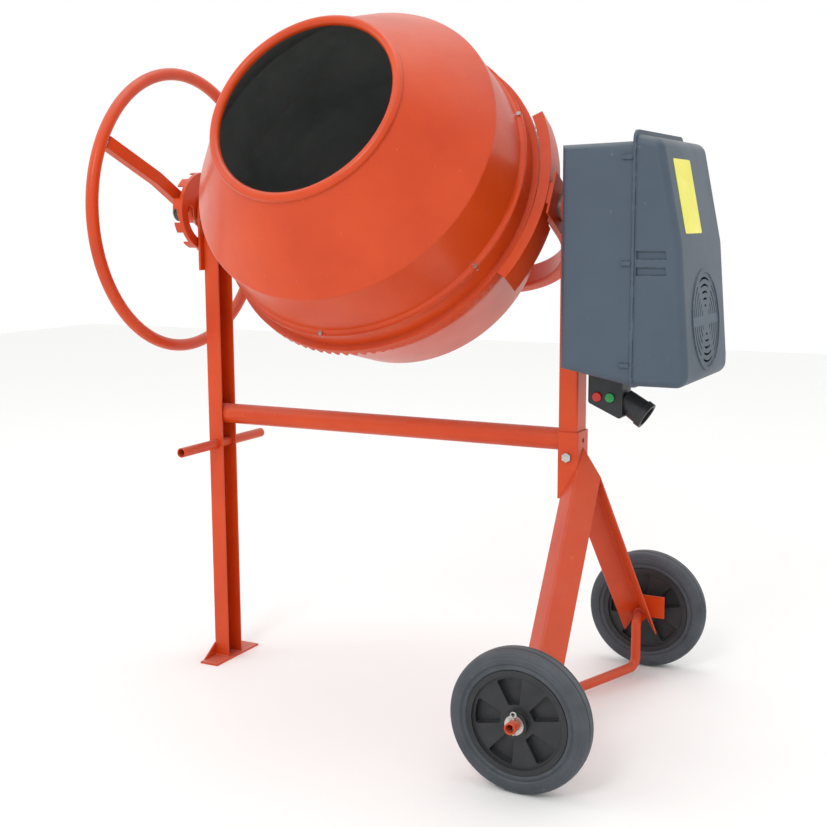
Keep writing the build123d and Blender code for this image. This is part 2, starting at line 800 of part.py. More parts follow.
# ---- handwheel ------------------------------------------------------------------------------
def make_handwheel():
    """Tube ring, dished channel spoke across it and the sliding hub on the left shaft."""
    with BuildPart() as handwheel_ring:
        with Locations(Location((ring_x, 0, axis_z), ALONG_X)):
            Torus(ring_radius, ring_tube_radius)
    finish(handwheel_ring, "handwheel_ring")

    spoke_side = Plane(origin=(0, 0, axis_z), x_dir=drum_dir, z_dir=up_dir)
    end_radius = ring_radius - ring_tube_radius + 1.0
    knees = [
        (-end_radius, ring_x),
        (-spoke_knee, spoke_x),
        (spoke_knee, spoke_x),
        (end_radius, ring_x),
    ]
    half = spoke_depth / 2
    inner_edge = [(r, x + half) for r, x in knees]
    inner_skin = [(r, x + half - spoke_wall) for r, x in knees]
    outer_edge = [(r, x - half) for r, x in reversed(knees)]
    beyond_edge = [(r, x - spoke_depth) for r, x in reversed(knees)]
    with BuildPart() as handwheel_spoke:
        with BuildSketch(spoke_side):
            with BuildLine():
                Polyline(*inner_edge, *outer_edge, close=True)
            make_face()
        extrude(amount=spoke_width / 2, both=True)
        with BuildSketch(spoke_side):
            with BuildLine():
                Polyline(*inner_skin, *beyond_edge, close=True)
            make_face()
        extrude(amount=spoke_width / 2 - spoke_wall, both=True, mode=Mode.SUBTRACT)
        rod((disc_floor_x, 0, axis_z), (ring_x, 0, axis_z), wheel_hub_radius, mode=Mode.SUBTRACT)
        with Locations(Location((ring_x, 0, axis_z), ALONG_X)):
            Torus(ring_radius, ring_tube_radius, mode=Mode.SUBTRACT)
    finish(handwheel_spoke, "handwheel_spoke")

    with BuildPart() as handwheel_hub:
        tube(
            (wheel_hub_start_x, 0, axis_z),
            (wheel_hub_start_x - wheel_hub_length, 0, axis_z),
            wheel_hub_radius,
            left_shaft_radius + running_fit,
        )
        end_x = wheel_hub_start_x - wheel_hub_length
        rod(
            (end_x, 0, axis_z),
            (end_x + spring_pocket, 0, axis_z),
            wheel_hub_radius - 3.0,
            mode=Mode.SUBTRACT,
        )
    finish(handwheel_hub, "handwheel_hub")


def make_lock_spring():
    """Spring round the shaft's tip, which presses the handwheel into the disc, and its washer."""
    washer_x = left_shaft_end_x + 4.0
    coil_radius = left_shaft_radius + 0.8 + spring_wire / 2
    coil_length = spring_length - spring_wire
    with BuildPart() as lock_spring:
        with BuildLine():
            coil = Helix(
                coil_length / spring_turns,
                coil_length,
                coil_radius,
                center=(washer_x + washer_thickness + spring_wire / 2, 0, axis_z),
                direction=(1, 0, 0),
            )
        with BuildSketch(Plane(origin=coil @ 0, z_dir=coil % 0)):
            Circle(spring_wire / 2)
        sweep(is_frenet=True)
    finish(lock_spring, "lock_spring")
    with BuildPart() as spring_washer:
        tube(
            (washer_x, 0, axis_z),
            (washer_x + washer_thickness, 0, axis_z),
            wheel_hub_radius - 4.0,
            left_shaft_radius,
        )
    finish(spring_washer, "spring_washer")


# ---- yoke -----------------------------------------------------------------------------------
def make_yoke():
    """Flat-sided tube bent into a U round the drum, which carries it and tilts with it."""
    with BuildPart() as yoke:
        with BuildLine(section_plane):
            FilletPolyline(
                (-yoke_half_width, yoke_arm_end),
                (-yoke_half_width, -yoke_depth),
                (yoke_half_width, -yoke_depth),
                (yoke_half_width, yoke_arm_end),
                radius=yoke_corner,
            )
        arm_end = Plane(
            origin=section_plane.from_local_coords(Vector(-yoke_half_width, yoke_arm_end, 0)),
            x_dir=(1, 0, 0),
            z_dir=drum_dir * -1,
        )
        with BuildSketch(arm_end):
            RectangleRounded(yoke_thickness, yoke_width, yoke_edge)
            RectangleRounded(
                yoke_thickness - 2 * yoke_wall,
                yoke_width - 2 * yoke_wall,
                yoke_edge - yoke_wall,
                mode=Mode.SUBTRACT,
            )
        sweep(transition=Transition.RIGHT)
        for x, radius in (
            (drum_x - yoke_half_width, left_shaft_radius),
            (drum_x + yoke_half_width, trunnion_neck),
        ):
            with Locations(Location((x, 0, axis_z), ALONG_X)):
                Cylinder(radius, yoke_thickness * 2, mode=Mode.SUBTRACT)
        with BuildSketch(drum_level(-yoke_depth - yoke_thickness)):
            Circle(spindle_radius)
        extrude(amount=yoke_thickness * 2, mode=Mode.SUBTRACT)
    finish(yoke, "yoke")


def make_left_shaft():
    """Solid tilt shaft welded through the left arm, out to the handwheel."""
    with BuildPart() as left_shaft:
        rod(
            (yoke_left_out_x + yoke_thickness, 0, axis_z),
            (left_shaft_end_x, 0, axis_z),
            left_shaft_radius,
        )
        chamfer(left_shaft.edges().sort_by(Axis.X)[0], 1.5)
    finish(left_shaft, "left_shaft")


def make_right_trunnion():
    """Tube welded through the right arm; the pinion shaft's bearings sit in its ends."""
    end_x = right_web_x + bearing_plate_thickness
    with BuildPart() as right_trunnion:
        tube((yoke_arm_out_x, 0, axis_z), (end_x, 0, axis_z), trunnion_radius, trunnion_bore)
        tube(
            (yoke_arm_in_x, 0, axis_z),
            (yoke_arm_out_x, 0, axis_z),
            trunnion_neck,
            trunnion_bore,
        )
    finish(right_trunnion, "right_trunnion")


def make_spindle():
    """Fixed spindle at the bottom of the yoke that the drum turns on."""
    with BuildPart() as spindle:
        with BuildSketch(drum_level(-yoke_depth - yoke_thickness / 2)):
            Circle(spindle_radius)
        extrude(amount=yoke_depth + yoke_thickness / 2 + bottom_level - 8.0)
        with BuildSketch(drum_level(-yoke_depth - yoke_thickness / 2)):
            RegularPolygon(18.0, 6, major_radius=False)
        extrude(amount=-10.0)
        with BuildSketch(drum_level(-yoke_depth + yoke_thickness / 2)):
            Circle(spindle_radius + 5.0)
        extrude(amount=6.0)
    finish(spindle, "drum_spindle")


# ---- drum -----------------------------------------------------------------------------------
def make_drum_upper():
    """Upper drum: rolled mouth, cone, tapering band and the flange it is bolted by."""
    half = drum_wall / 2
    with BuildPart() as drum_upper:
        with BuildSketch(section_plane):
            with BuildLine():
                FilletPolyline(
                    (mouth_radius, mouth_level),
                    (shoulder_radius - half, shoulder_level),
                    (drum_radius - half, flange_level),
                    radius=shoulder_bend,
                )
            trace(line_width=drum_wall)
            with Locations((mouth_radius, mouth_level)):
                Circle(mouth_bead_radius)
            with Locations((drum_radius, flange_level)):
                Rectangle(flange_reach, flange_thickness, align=(Align.MIN, Align.MIN))
        revolve(axis=drum_axis)
        with BuildSketch(drum_level(flange_level)):
            Circle(drum_radius * 2)
        extrude(amount=-60.0, mode=Mode.SUBTRACT)
        flange_bolt_holes()
    finish(drum_upper, "drum_upper")


def flange_bolt_holes():
    """Six holes on one circle through the drum's flange joint."""
    for index in range(flange_bolts):
        turn = flange_bolt_turn + index * 360.0 / flange_bolts
        with BuildSketch(drum_level(flange_level - 20.0, turn)) as hole:
            with Locations((flange_bolt_circle(), 0)):
                Circle(flange_bolt_radius)
        extrude(hole.sketch, amount=40.0, mode=Mode.SUBTRACT)


def flange_bolt_circle():
    return drum_radius + flange_reach / 2 + 0.5


def make_drum_lower():
    """Lower drum: flange, straight band, tapering wall and rounded flat bottom."""
    half = drum_wall / 2
    with BuildPart() as drum_lower:
        with BuildSketch(section_plane):
            with BuildLine():
                FilletPolyline(
                    (drum_radius - half, flange_level),
                    (drum_radius - half, belly_level),
                    (lower_radius - half, lower_level),
                    (bottom_radius, bottom_level + half),
                    (0, bottom_level + half),
                    radius=[40.0, 40.0, 60.0],
                )
            trace(line_width=drum_wall)
            with Locations((drum_radius, flange_level)):
                Rectangle(flange_reach, flange_thickness, align=(Align.MIN, Align.MAX))
        revolve(axis=drum_axis)
        with BuildSketch(drum_level(flange_level)):
            Circle(drum_radius * 2)
        extrude(amount=60.0, mode=Mode.SUBTRACT)
        flange_bolt_holes()
    finish(drum_lower, "drum_lower")


def make_flange_bolts():
    """Bolts and nuts of the drum's flange joint."""
    with BuildPart() as flange_bolts_group:
        for index in range(flange_bolts):
            turn = flange_bolt_turn + index * 360.0 / flange_bolts
            top = drum_point(flange_bolt_circle(), turn, flange_level + flange_thickness)
            low = drum_point(flange_bolt_circle(), turn, flange_level - flange_thickness)
            rod(low, top, flange_bolt_radius)
            hexagon_bar(top, top + drum_dir * 3.5, flange_bolt_radius * 3.2)
            hexagon_bar(low - drum_dir * 4.0, low, flange_bolt_radius * 3.2)
    finish(flange_bolts_group, "flange_bolts")


def wall_radius(level):
    """Radius of the drum's inner face at a level."""
    corners = [
        (mouth_radius, mouth_level),
        (shoulder_radius, shoulder_level),
        (drum_radius, flange_level),
        (drum_radius, belly_level),
        (lower_radius, lower_level),
    ]
    for (r_top, top), (r_low, low) in zip(corners, corners[1:]):
        if low <= level <= top:
            lean = (r_top - r_low) / (top - low)
            outer = r_low + (level - low) * lean
            return outer - drum_wall * sqrt(1 + lean * lean)
    return lower_radius


def make_blade(index):
    """Mixing blade: a tall plate standing square on the drum's wall along most of its height."""
    turn = blade_turn + index * 360.0 / blade_count
    levels = (
        shoulder_level + 45.0,
        shoulder_level,
        flange_level,
        belly_level,
        lower_level + 20.0,
    )
    wall_line = [(wall_radius(level) - blade_fit, level) for level in levels]
    free_line = [(r - blade_depth, level) for r, level in reversed(wall_line)]
    with BuildPart() as blade:
        with BuildSketch(radial_plane(turn)) as face:
            with BuildLine():
                Polyline(*wall_line, *free_line, close=True)
            make_face()
            fillet(face.vertices().sort_by(Axis.X)[0:2], blade_depth / 3)
        extrude(amount=blade_wall / 2, both=True)
    finish(blade, f"mixing_blade_{index + 1}")


def make_drum_hub():
    """Bearing hub bolted under the drum's bottom, with its two ball bearings."""
    flange_top = bottom_level
    with BuildPart() as drum_hub:
        with BuildSketch(drum_level(flange_top)):
            Circle(drum_hub_flange)
        extrude(amount=-5.0)
        with BuildSketch(drum_level(flange_top - 5.0)):
            Circle(drum_hub_radius)
            Circle(drum_bearing_radius, mode=Mode.SUBTRACT)
        extrude(amount=-drum_hub_length + 5.0)
    finish(drum_hub, "drum_hub")
    with BuildPart() as drum_bearings:
        for level in (flange_top - 8.0, flange_top - drum_hub_length + drum_bearing_width + 3.0):
            with BuildSketch(drum_level(level)):
                Circle(drum_bearing_radius)
                Circle(spindle_radius + running_fit, mode=Mode.SUBTRACT)
            extrude(amount=-drum_bearing_width)
    finish(drum_bearings, "drum_bearings")


# ---- ring gear, pinion, guard ---------------------------------------------------------------
def make_ring_gear():
    """Cast face gear: teeth away from the mouth, lugs on its skirt bolted to the flange."""
    pitch = 2 * pi * gear_mean / gear_teeth
    slope = tan(radians(flank_angle))
    half_pitch_width = pitch / 4 - backlash / 2
    tip = half_pitch_width - addendum * slope
    root = half_pitch_width + dedendum * slope
    teeth = []
    for index in range(gear_teeth):
        turn = (index + 0.5) * 360.0 / gear_teeth
        across = radial_dir(turn)
        along = drum_dir.cross(across)
        teeth.append(Plane(origin=tilt_centre + across * gear_inner, x_dir=along, z_dir=across))
    with BuildPart() as ring_gear:
        with BuildSketch(drum_level(gear_root_level)):
            Circle(gear_outer)
            Circle(gear_inner, mode=Mode.SUBTRACT)
        extrude(amount=gear_plate)
        with BuildSketch(drum_level(gear_root_level + gear_plate)):
            Circle(gear_skirt_outer)
            Circle(gear_inner, mode=Mode.SUBTRACT)
        skirt_top = flange_level - flange_thickness - 5.0
        extrude(amount=skirt_top - gear_root_level - gear_plate)
        for index in range(flange_bolts):
            turn = flange_bolt_turn + (index + 0.5) * 360.0 / flange_bolts
            with BuildSketch(drum_level(skirt_top - 0.5, turn)):
                with Locations(((gear_inner + gear_skirt_outer) / 2, 0)):
                    Rectangle(gear_skirt_outer - gear_inner - 1.0, 30.0)
            extrude(amount=flange_level - flange_thickness - skirt_top + 0.5)
        with BuildSketch(*teeth):
            with BuildLine():
                Polyline(
                    (-root, gear_root_level),
                    (-tip, pinion_pitch - addendum),
                    (tip, pinion_pitch - addendum),
                    (root, gear_root_level),
                    close=True,
                )
            make_face()
        extrude(amount=gear_outer - gear_inner)
    finish(ring_gear, "ring_gear")


def make_pinion():
    start_x = drum_x + gear_inner
    face = Plane(origin=(start_x, 0, axis_z), x_dir=drum_dir, z_dir=(1, 0, 0))
    slope = tan(radians(flank_angle))
    half_pitch_width = pi * pinion_pitch / pinion_teeth / 2 - backlash / 2
    root_radius = pinion_pitch - dedendum
    tip_radius = pinion_pitch + addendum - 0.4
    with BuildPart() as pinion:
        with BuildSketch(face):
            Circle(root_radius + 0.5)
            with PolarLocations(0, pinion_teeth):
                with Locations((0, 0)):
                    tooth_face(root_radius, tip_radius, half_pitch_width, slope)
            Circle(pinion_shaft_radius, mode=Mode.SUBTRACT)
        extrude(amount=pinion_length)
    finish(pinion, "pinion")


def tooth_face(root_radius, tip_radius, half_width, slope):
    """One tapering pinion tooth pointing along +x."""
    root = half_width + (pinion_pitch - root_radius) * slope * 0.9
    tip = half_width - (tip_radius - pinion_pitch) * slope * 1.3
    Polygon(
        (root_radius, -root),
        (pinion_pitch, -half_width),
        (tip_radius, -tip),
        (tip_radius, tip),
        (pinion_pitch, half_width),
        (root_radius, root),
        align=None,
    )


def pulley_end_x():
    return pulley_x + pulley_width


def make_pinion_shaft():
    with BuildPart() as pinion_shaft:
        rod(
            (drum_x + gear_inner, 0, axis_z),
            (pulley_end_x() + 14.0, 0, axis_z),
            pinion_shaft_radius,
        )
        chamfer(pinion_shaft.edges().sort_by(Axis.X)[-1], 1.0)
    finish(pinion_shaft, "pinion_shaft")


def make_pinion_bearings():
    """Ball bearings of the pinion shaft, one at each end of the trunnion tube."""
    end_x = right_web_x + bearing_plate_thickness
    with BuildPart() as pinion_bearings:
        for x in (yoke_arm_in_x + 2.0, end_x - pinion_bearing_width - 2.0):
            tube(
                (x, 0, axis_z),
                (x + pinion_bearing_width, 0, axis_z),
                trunnion_bore,
                pinion_shaft_radius + running_fit,
            )
    finish(pinion_bearings, "pinion_bearings")


def make_gear_guard():
    """Curved angle over the gear mesh, notched round the yoke's arm."""
    flange_in = gear_outer + 4.0
    with BuildPart() as gear_guard:
        with BuildSketch(radial_plane(-guard_half_angle)):
            with Locations((guard_radius, guard_low)):
                Rectangle(guard_wall, guard_high - guard_low, align=(Align.MAX, Align.MIN))
            with Locations((guard_radius, guard_high)):
                Rectangle(guard_radius - flange_in, guard_wall, align=Align.MAX)
        revolve(axis=drum_axis, revolution_arc=2 * guard_half_angle)
        notch = guard_radius * tan(radians(guard_notch_angle))
        with BuildSketch(drum_level(guard_low - 1.0)):
            with Locations((guard_radius, 0)):
                Rectangle(guard_wall * 8, notch * 2)
        extrude(amount=yoke_arm_end + 2.5 - guard_low + 1.0, mode=Mode.SUBTRACT)
    finish(gear_guard, "gear_guard")


def make_trunnion_plate():
    """Stiffening plate on the right arm, with the shelf that carries the gear guard."""
    start_x = yoke_arm_out_x
    half = guard_radius * tan(radians(guard_notch_angle)) - 2.0
    face = Plane(origin=(start_x, 0, axis_z), x_dir=up_dir, z_dir=(1, 0, 0))
    with BuildPart() as trunnion_plate:
        with BuildSketch(face):
            with Locations((0, (guard_high - 40.0) / 2)):
                Rectangle(half * 2, guard_high + 40.0)
            Circle(trunnion_radius, mode=Mode.SUBTRACT)
        extrude(amount=4.0)
        shelf_in = drum_x + guard_radius
        with BuildSketch(Plane(origin=(shelf_in, 0, axis_z), x_dir=up_dir, z_dir=(1, 0, 0))):
            with Locations((0, (yoke_arm_end + guard_high) / 2 + 3.0)):
                Rectangle(half, guard_high - yoke_arm_end - 10.0)
        extrude(amount=start_x - shelf_in)
    finish(trunnion_plate, "trunnion_plate")


# ---- drive box ------------------------------------------------------------------------------
def box_floor_z(x):
    """Height of the inner shell's sloping underside at x."""
    slope = (box_back_bottom_z - box_bottom_z) / (box_seam_x - box_back_x)
    return box_back_bottom_z - slope * (x - box_back_x)


def outer_face_plane(z):
    """Plane on the cover's sloping outer face at a height, y across and up the slope."""
    low = Vector(box_outer_low_x, 0, box_outer_low_z)
    high = Vector(box_knee_x, 0, box_knee_z)
    if z > box_knee_z:
        low = high
        high = Vector(box_outer_high_x, 0, box_cover_end_z)
    way = (high - low).normalized()
    origin = low + way * ((z - low.Z) / way.Z)
    return Plane(origin=origin, x_dir=(0, 1, 0), z_dir=Vector(0, 1, 0).cross(way))


def make_box_shell():
    """Inner moulding of the drive box, bolted to the right upright."""
    past = box_seam_x + 2 * box_round
    with BuildPart() as box_shell:
        with BuildSketch(Plane.XZ):
            with BuildLine():
                Polyline(
                    (box_back_x, box_back_bottom_z),
                    (past, box_floor_z(past)),
                    (past, box_shell_top_z),
                    (box_back_x, box_shell_top_z - shell_top_fall),
                    close=True,
                )
            make_face()
        extrude(amount=box_half_depth, both=True)
        fillet(box_shell.faces().filter_by(Axis.Y).edges(), box_round)
        split(bisect_by=Plane.YZ.offset(box_seam_x), keep=Keep.BOTTOM)
        seam = box_shell.faces().filter_by(Axis.X).sort_by(Axis.X)[-1]
        offset(amount=-box_wall, openings=seam)
        with Locations(Location((box_back_x, 0, axis_z), ALONG_X)):
            Cylinder(trunnion_radius + 6.0, box_wall * 4, mode=Mode.SUBTRACT)
        holes_along_x(box_back_x, bracket_bolt_spots() + bearing_bolt_spots(), box_wall * 4)
        with Locations((switch_left_x + 20.0, switch_front_y + switch_depth / 2, box_bottom_z)):
            Cylinder(7.0, 60.0, mode=Mode.SUBTRACT)
    finish(box_shell, "box_shell")


def box_side_view(bottom_z, top_z, past):
    """The cover's outline seen from the side, from past to its outer face."""
    with BuildSketch(Plane.XZ) as side_view:
        with BuildLine():
            Polyline(
                (past, bottom_z),
                (box_outer_low_x, bottom_z),
                (box_outer_low_x, box_outer_low_z),
                (box_knee_x, box_knee_z),
                (box_outer_high_x, box_cover_end_z),
                (box_seam_x + rim_width, top_z),
                (past, top_z),
                close=True,
            )
        make_face()
        for corner, bend in (
            ((box_outer_low_x, bottom_z), box_corner),
            ((box_knee_x, box_knee_z), box_knee_bend),
            ((box_outer_high_x, box_cover_end_z), box_corner),
        ):
            fillet(side_view.vertices().sort_by_distance((*corner, 0))[0], bend)
    return side_view.sketch


def make_box_cover():
    """Outer moulding: bent sloping face with round vents, side grooves and a rim at the seam."""
    start_x = box_seam_x + seam_gap
    past = start_x - 2 * box_round
    with BuildPart() as box_cover:
        extrude(box_side_view(box_bottom_z, box_cover_top_z, past), amount=box_half_depth, both=True)
        fillet(box_cover.faces().filter_by(Axis.Y).edges(), box_round)
        split(bisect_by=Plane.YZ.offset(start_x), keep=Keep.TOP)
        seam = box_cover.faces().filter_by(Axis.X).sort_by(Axis.X)[0]
        offset(amount=-box_wall, openings=seam)
        seam_plane = Plane(origin=(start_x, 0, 0), x_dir=(0, 1, 0), z_dir=(1, 0, 0))
        with BuildSketch(seam_plane):
            middle_z = (box_bottom_z + rim_top_z - rim_proud) / 2
            outer_height = rim_top_z - box_bottom_z + rim_proud
            inner_height = box_cover_top_z - box_bottom_z
            with Locations((0, middle_z)):
                RectangleRounded(
                    2 * (box_half_depth + rim_proud), outer_height, box_round + rim_proud
                )
            with Locations((0, (box_bottom_z + box_cover_top_z) / 2)):
                RectangleRounded(
                    2 * (box_half_depth - box_wall),
                    inner_height - 2 * box_wall,
                    box_round - box_wall,
                    mode=Mode.SUBTRACT,
                )
        extrude(amount=rim_width)
        sunk_y = box_half_depth - band_depth
        groove_start = start_x + rim_width + 3.0
        groove_end = box_outer_high_x + 12.0
        groove_height = (band_high_z - band_low_z - band_ridge) / 2
        for side in (-1, 1):
            back_y = sorted((side * (sunk_y - box_wall), side * sunk_y))
            cut_y = sorted((side * sunk_y, side * (box_half_depth + box_round)))
            block(
                (groove_start - box_wall, back_y[0], band_low_z - box_wall),
                (groove_end + box_wall, back_y[1], band_high_z + box_wall),
            )
            for low_z in (band_low_z, band_high_z - groove_height):
                block(
                    (groove_start, cut_y[0], low_z),
                    (groove_end, cut_y[1], low_z + groove_height),
                    mode=Mode.SUBTRACT,
                )
        vent = outer_face_plane(vent_z)
        with BuildSketch(vent.offset(-0.5)):
            Circle(vent_radius + 3.0)
            Circle(vent_radius - 3.0, mode=Mode.SUBTRACT)
        extrude(amount=2.5)
        with BuildSketch(vent.offset(5.0)):
            for radius in vent_rings:
                Circle(radius + vent_slot / 2)
                Circle(radius - vent_slot / 2, mode=Mode.SUBTRACT)
            for turn in (0.0, 60.0, 120.0):
                with Locations(Location((0, 0, 0), (0, 0, turn))):
                    Rectangle(vent_radius * 2, vent_bar, mode=Mode.SUBTRACT)
        extrude(amount=-16.0, mode=Mode.SUBTRACT)
    finish(box_cover, "box_cover")


def make_box_clips():
    """Snap clips on the front and rear sides of the inner moulding, up against the rim."""
    with BuildPart() as box_clips:
        for side in (-1, 1):
            for z in clip_heights:
                low_y, high_y = sorted((side * box_half_depth, side * (box_half_depth + 4.0)))
                block(
                    (box_seam_x - clip_length, low_y, z - clip_height / 2),
                    (box_seam_x, high_y, z + clip_height / 2),
                )
    finish(box_clips, "box_clips")


def make_label_plate():
    """Sticker plate on the upper slope of the cover."""
    plane = outer_face_plane(label_z)
    with BuildPart() as label_plate:
        with BuildSketch(plane):
            with Locations((label_y, 0)):
                RectangleRounded(label_width, label_height, 4.0)
        extrude(amount=label_thickness)
    finish(label_plate, "label_plate")


def make_pulleys_and_belt():
    """Big pulley on the pinion shaft, small one on the motor, and the ribbed flat belt."""
    middle_x = pulley_x + pulley_width / 2
    with BuildPart() as big_pulley:
        tube(
            (pulley_x, 0, axis_z),
            (pulley_end_x(), 0, axis_z),
            big_pulley_radius,
            big_pulley_radius - 8.0,
        )
        tube(
            (middle_x - 2.5, 0, axis_z),
            (middle_x + 2.5, 0, axis_z),
            big_pulley_radius - 7.0,
            pinion_shaft_radius,
        )
        tube((pulley_x, 0, axis_z), (pulley_end_x() + 4.0, 0, axis_z), 18.0, pinion_shaft_radius)
        with BuildSketch(Plane.YZ.offset(middle_x - 5.0)):
            with Locations((0, axis_z)):
                with PolarLocations(54.0, 6):
                    Circle(18.0)
        extrude(amount=10.0, mode=Mode.SUBTRACT)
    finish(big_pulley, "big_pulley")

    with BuildPart() as motor_pulley:
        flange = 1.5
        for x, end_x, radius in (
            (pulley_x - flange, pulley_x, small_pulley_radius + belt_thickness + 1.0),
            (pulley_x, pulley_end_x(), small_pulley_radius),
            (pulley_end_x(), pulley_end_x() + flange, small_pulley_radius + belt_thickness + 1.0),
            (pulley_end_x() + flange, motor_start_x + motor_length + 20.0, motor_shaft_radius),
        ):
            rod((x, 0, motor_z), (end_x, 0, motor_z), radius)
    finish(motor_pulley, "motor_pulley")

    with BuildPart() as drive_belt:
        with BuildSketch(Plane.YZ.offset(middle_x - belt_width / 2)):
            for extra, mode in ((belt_thickness + belt_fit, Mode.ADD), (belt_fit, Mode.SUBTRACT)):
                big = big_pulley_radius + extra
                small = small_pulley_radius + extra
                lean = (big - small) / (axis_z - motor_z)
                level = sqrt(1 - lean * lean)
                left_top = (-big * level, axis_z - big * lean)
                right_top = (big * level, axis_z - big * lean)
                left_low = (-small * level, motor_z - small * lean)
                right_low = (small * level, motor_z - small * lean)
                with BuildLine():
                    Line(right_top, right_low)
                    ThreePointArc(right_low, (0, motor_z - small), left_low)
                    Line(left_low, left_top)
                    ThreePointArc(left_top, (0, axis_z + big), right_top)
                make_face(mode=mode)
        extrude(amount=belt_width)
    finish(drive_belt, "drive_belt")


def make_motor_bracket():
    """Pressed bracket: foot against the shell's back, two side webs and the motor's face plate."""
    foot_x = box_back_x + box_wall
    face_x = motor_start_x
    half = 62.0
    low_z = motor_z - 64.0
    high_z = motor_z + 40.0
    wall = bracket_wall
    with BuildPart() as motor_bracket:
        block((foot_x, -half, low_z), (foot_x + wall, half, high_z))
        block((face_x - wall, -half, low_z), (face_x, half, high_z))
        for side in (-1, 1):
            low_y, high_y = sorted((side * half, side * (half - wall)))
            block((foot_x, low_y, low_z), (face_x, high_y, high_z))
        rod((face_x - 2 * wall, 0, motor_z), (face_x + wall, 0, motor_z), 16.0, mode=Mode.SUBTRACT)
        holes_along_x(foot_x, bracket_bolt_spots(), wall * 4)
    finish(motor_bracket, "motor_bracket")


def make_motor():
    """Finned motor body, its vented end cap, and the rotor with shaft and cooling fan."""
    end_x = motor_start_x + motor_length
    with BuildPart() as motor_body:
        with BuildSketch(Plane.YZ.offset(motor_start_x)):
            with Locations((0, motor_z)):
                Circle(motor_radius - 4.0)
                with PolarLocations(motor_radius - 4.0, motor_fins):
                    Rectangle(8.0, 2.4)
        extrude(amount=motor_length)
        rod(
            (motor_start_x - 1, 0, motor_z),
            (end_x + 1, 0, motor_z),
            motor_shaft_radius + running_fit,
            mode=Mode.SUBTRACT,
        )
    finish(motor_body, "motor_body")
    cap_start = end_x + 0.2
    cap_end = end_x + 26.0
    with BuildPart() as fan_cap:
        tube((cap_start, 0, motor_z), (cap_end, 0, motor_z), motor_radius, motor_radius - 2.0)
        with BuildSketch(Plane.YZ.offset(cap_end)):
            with Locations((0, motor_z)):
                Circle(motor_radius)
                with PolarLocations(30.0, 10):
                    Circle(6.0, mode=Mode.SUBTRACT)
        extrude(amount=2.0)
    finish(fan_cap, "fan_cap")
    with BuildPart() as cooling_fan:
        fan_x = end_x + 6.0
        with BuildSketch(Plane.YZ.offset(fan_x)):
            with Locations((0, motor_z)):
                Circle(fan_radius)
                Circle(motor_shaft_radius, mode=Mode.SUBTRACT)
        extrude(amount=2.0)
        with BuildSketch(Plane.YZ.offset(fan_x + 2.0)):
            with Locations((0, motor_z)):
                with PolarLocations(28.0, 7):
                    Rectangle(34.0, 2.0)
        extrude(amount=10.0)
    finish(cooling_fan, "cooling_fan")


def button_spots():
    """Places of the stop and start buttons on the switch's front, x and z."""
    return {
        "stop_button": (switch_left_x + 17.0, button_z),
        "start_button": (switch_left_x + 41.0, button_z),
    }


def make_switch():
    """Switch block screwed under the drive box, with its two push buttons on the front."""
    with BuildPart() as switch_body:
        with BuildSketch(Plane.XZ.offset(-switch_front_y - switch_depth)) as front:
            with BuildLine():
                Polyline(
                    (switch_left_x, switch_left_low_z),
                    (switch_right_x, switch_low_z),
                    (switch_right_x, box_floor_z(switch_right_x)),
                    (switch_left_x, box_floor_z(switch_left_x)),
                    close=True,
                )
            make_face()
            fillet(front.vertices().sort_by(Axis.Y)[0:2], 6.0)
        extrude(amount=switch_depth)
        for spot_x, spot_z in button_spots().values():
            with Locations(Location((spot_x, switch_front_y, spot_z), ALONG_Y)):
                Cylinder(button_radius + button_fit, button_pocket * 2, mode=Mode.SUBTRACT)
    finish(switch_body, "switch_body")
    for name, (spot_x, spot_z) in button_spots().items():
        with BuildPart() as button:
            rod(
                (spot_x, switch_front_y - button_reach, spot_z),
                (spot_x, switch_front_y + button_pocket - button_travel - 1.0, spot_z),
                button_radius,
            )
            fillet(button.edges().sort_by(Axis.Y)[0], 1.5)
        finish(button, name)


def make_inlet():
    """Angled power inlet: tapered sleeve with a collar, open at its mouth, and its pins."""
    way = Vector(cos(radians(inlet_slope)), 0, -sin(radians(inlet_slope)))
    middle_y = switch_front_y + inlet_radius + 1.0
    start = Vector(switch_right_x - 4.0, middle_y, switch_low_z + inlet_radius + 9.0)
    plane = Plane(origin=start, x_dir=(0, 1, 0), z_dir=way)
    pin_spots = [(-8.0, 0.0), (8.0, 0.0), (0.0, 9.0)]
    socket_floor = 18.0
    with BuildPart() as power_inlet:
        with BuildSketch(plane):
            Circle(inlet_radius - 4.0)
        with BuildSketch(plane.offset(inlet_length)):
            Circle(inlet_radius - 1.5)
        loft()
        with BuildSketch(plane.offset(inlet_length - inlet_collar)):
            Circle(inlet_radius)
        extrude(amount=inlet_collar)
        with BuildSketch(plane.offset(socket_floor)):
            Circle(inlet_radius - 6.0)
        extrude(amount=inlet_length, mode=Mode.SUBTRACT)
        with BuildSketch(plane.offset(socket_floor)):
            with Locations(*pin_spots):
                Circle(inlet_pin_radius)
        extrude(amount=-8.0, mode=Mode.SUBTRACT)
        far = 200.0
        block(
            (0, -far, 0),
            (switch_right_x, far, far + box_bottom_z),
            mode=Mode.SUBTRACT,
        )
    finish(power_inlet, "power_inlet")
    with BuildPart() as inlet_pins:
        with BuildSketch(plane.offset(socket_floor - 8.0)):
            with Locations(*pin_spots):
                Circle(inlet_pin_radius)
        extrude(amount=26.0)
    finish(inlet_pins, "inlet_pins")


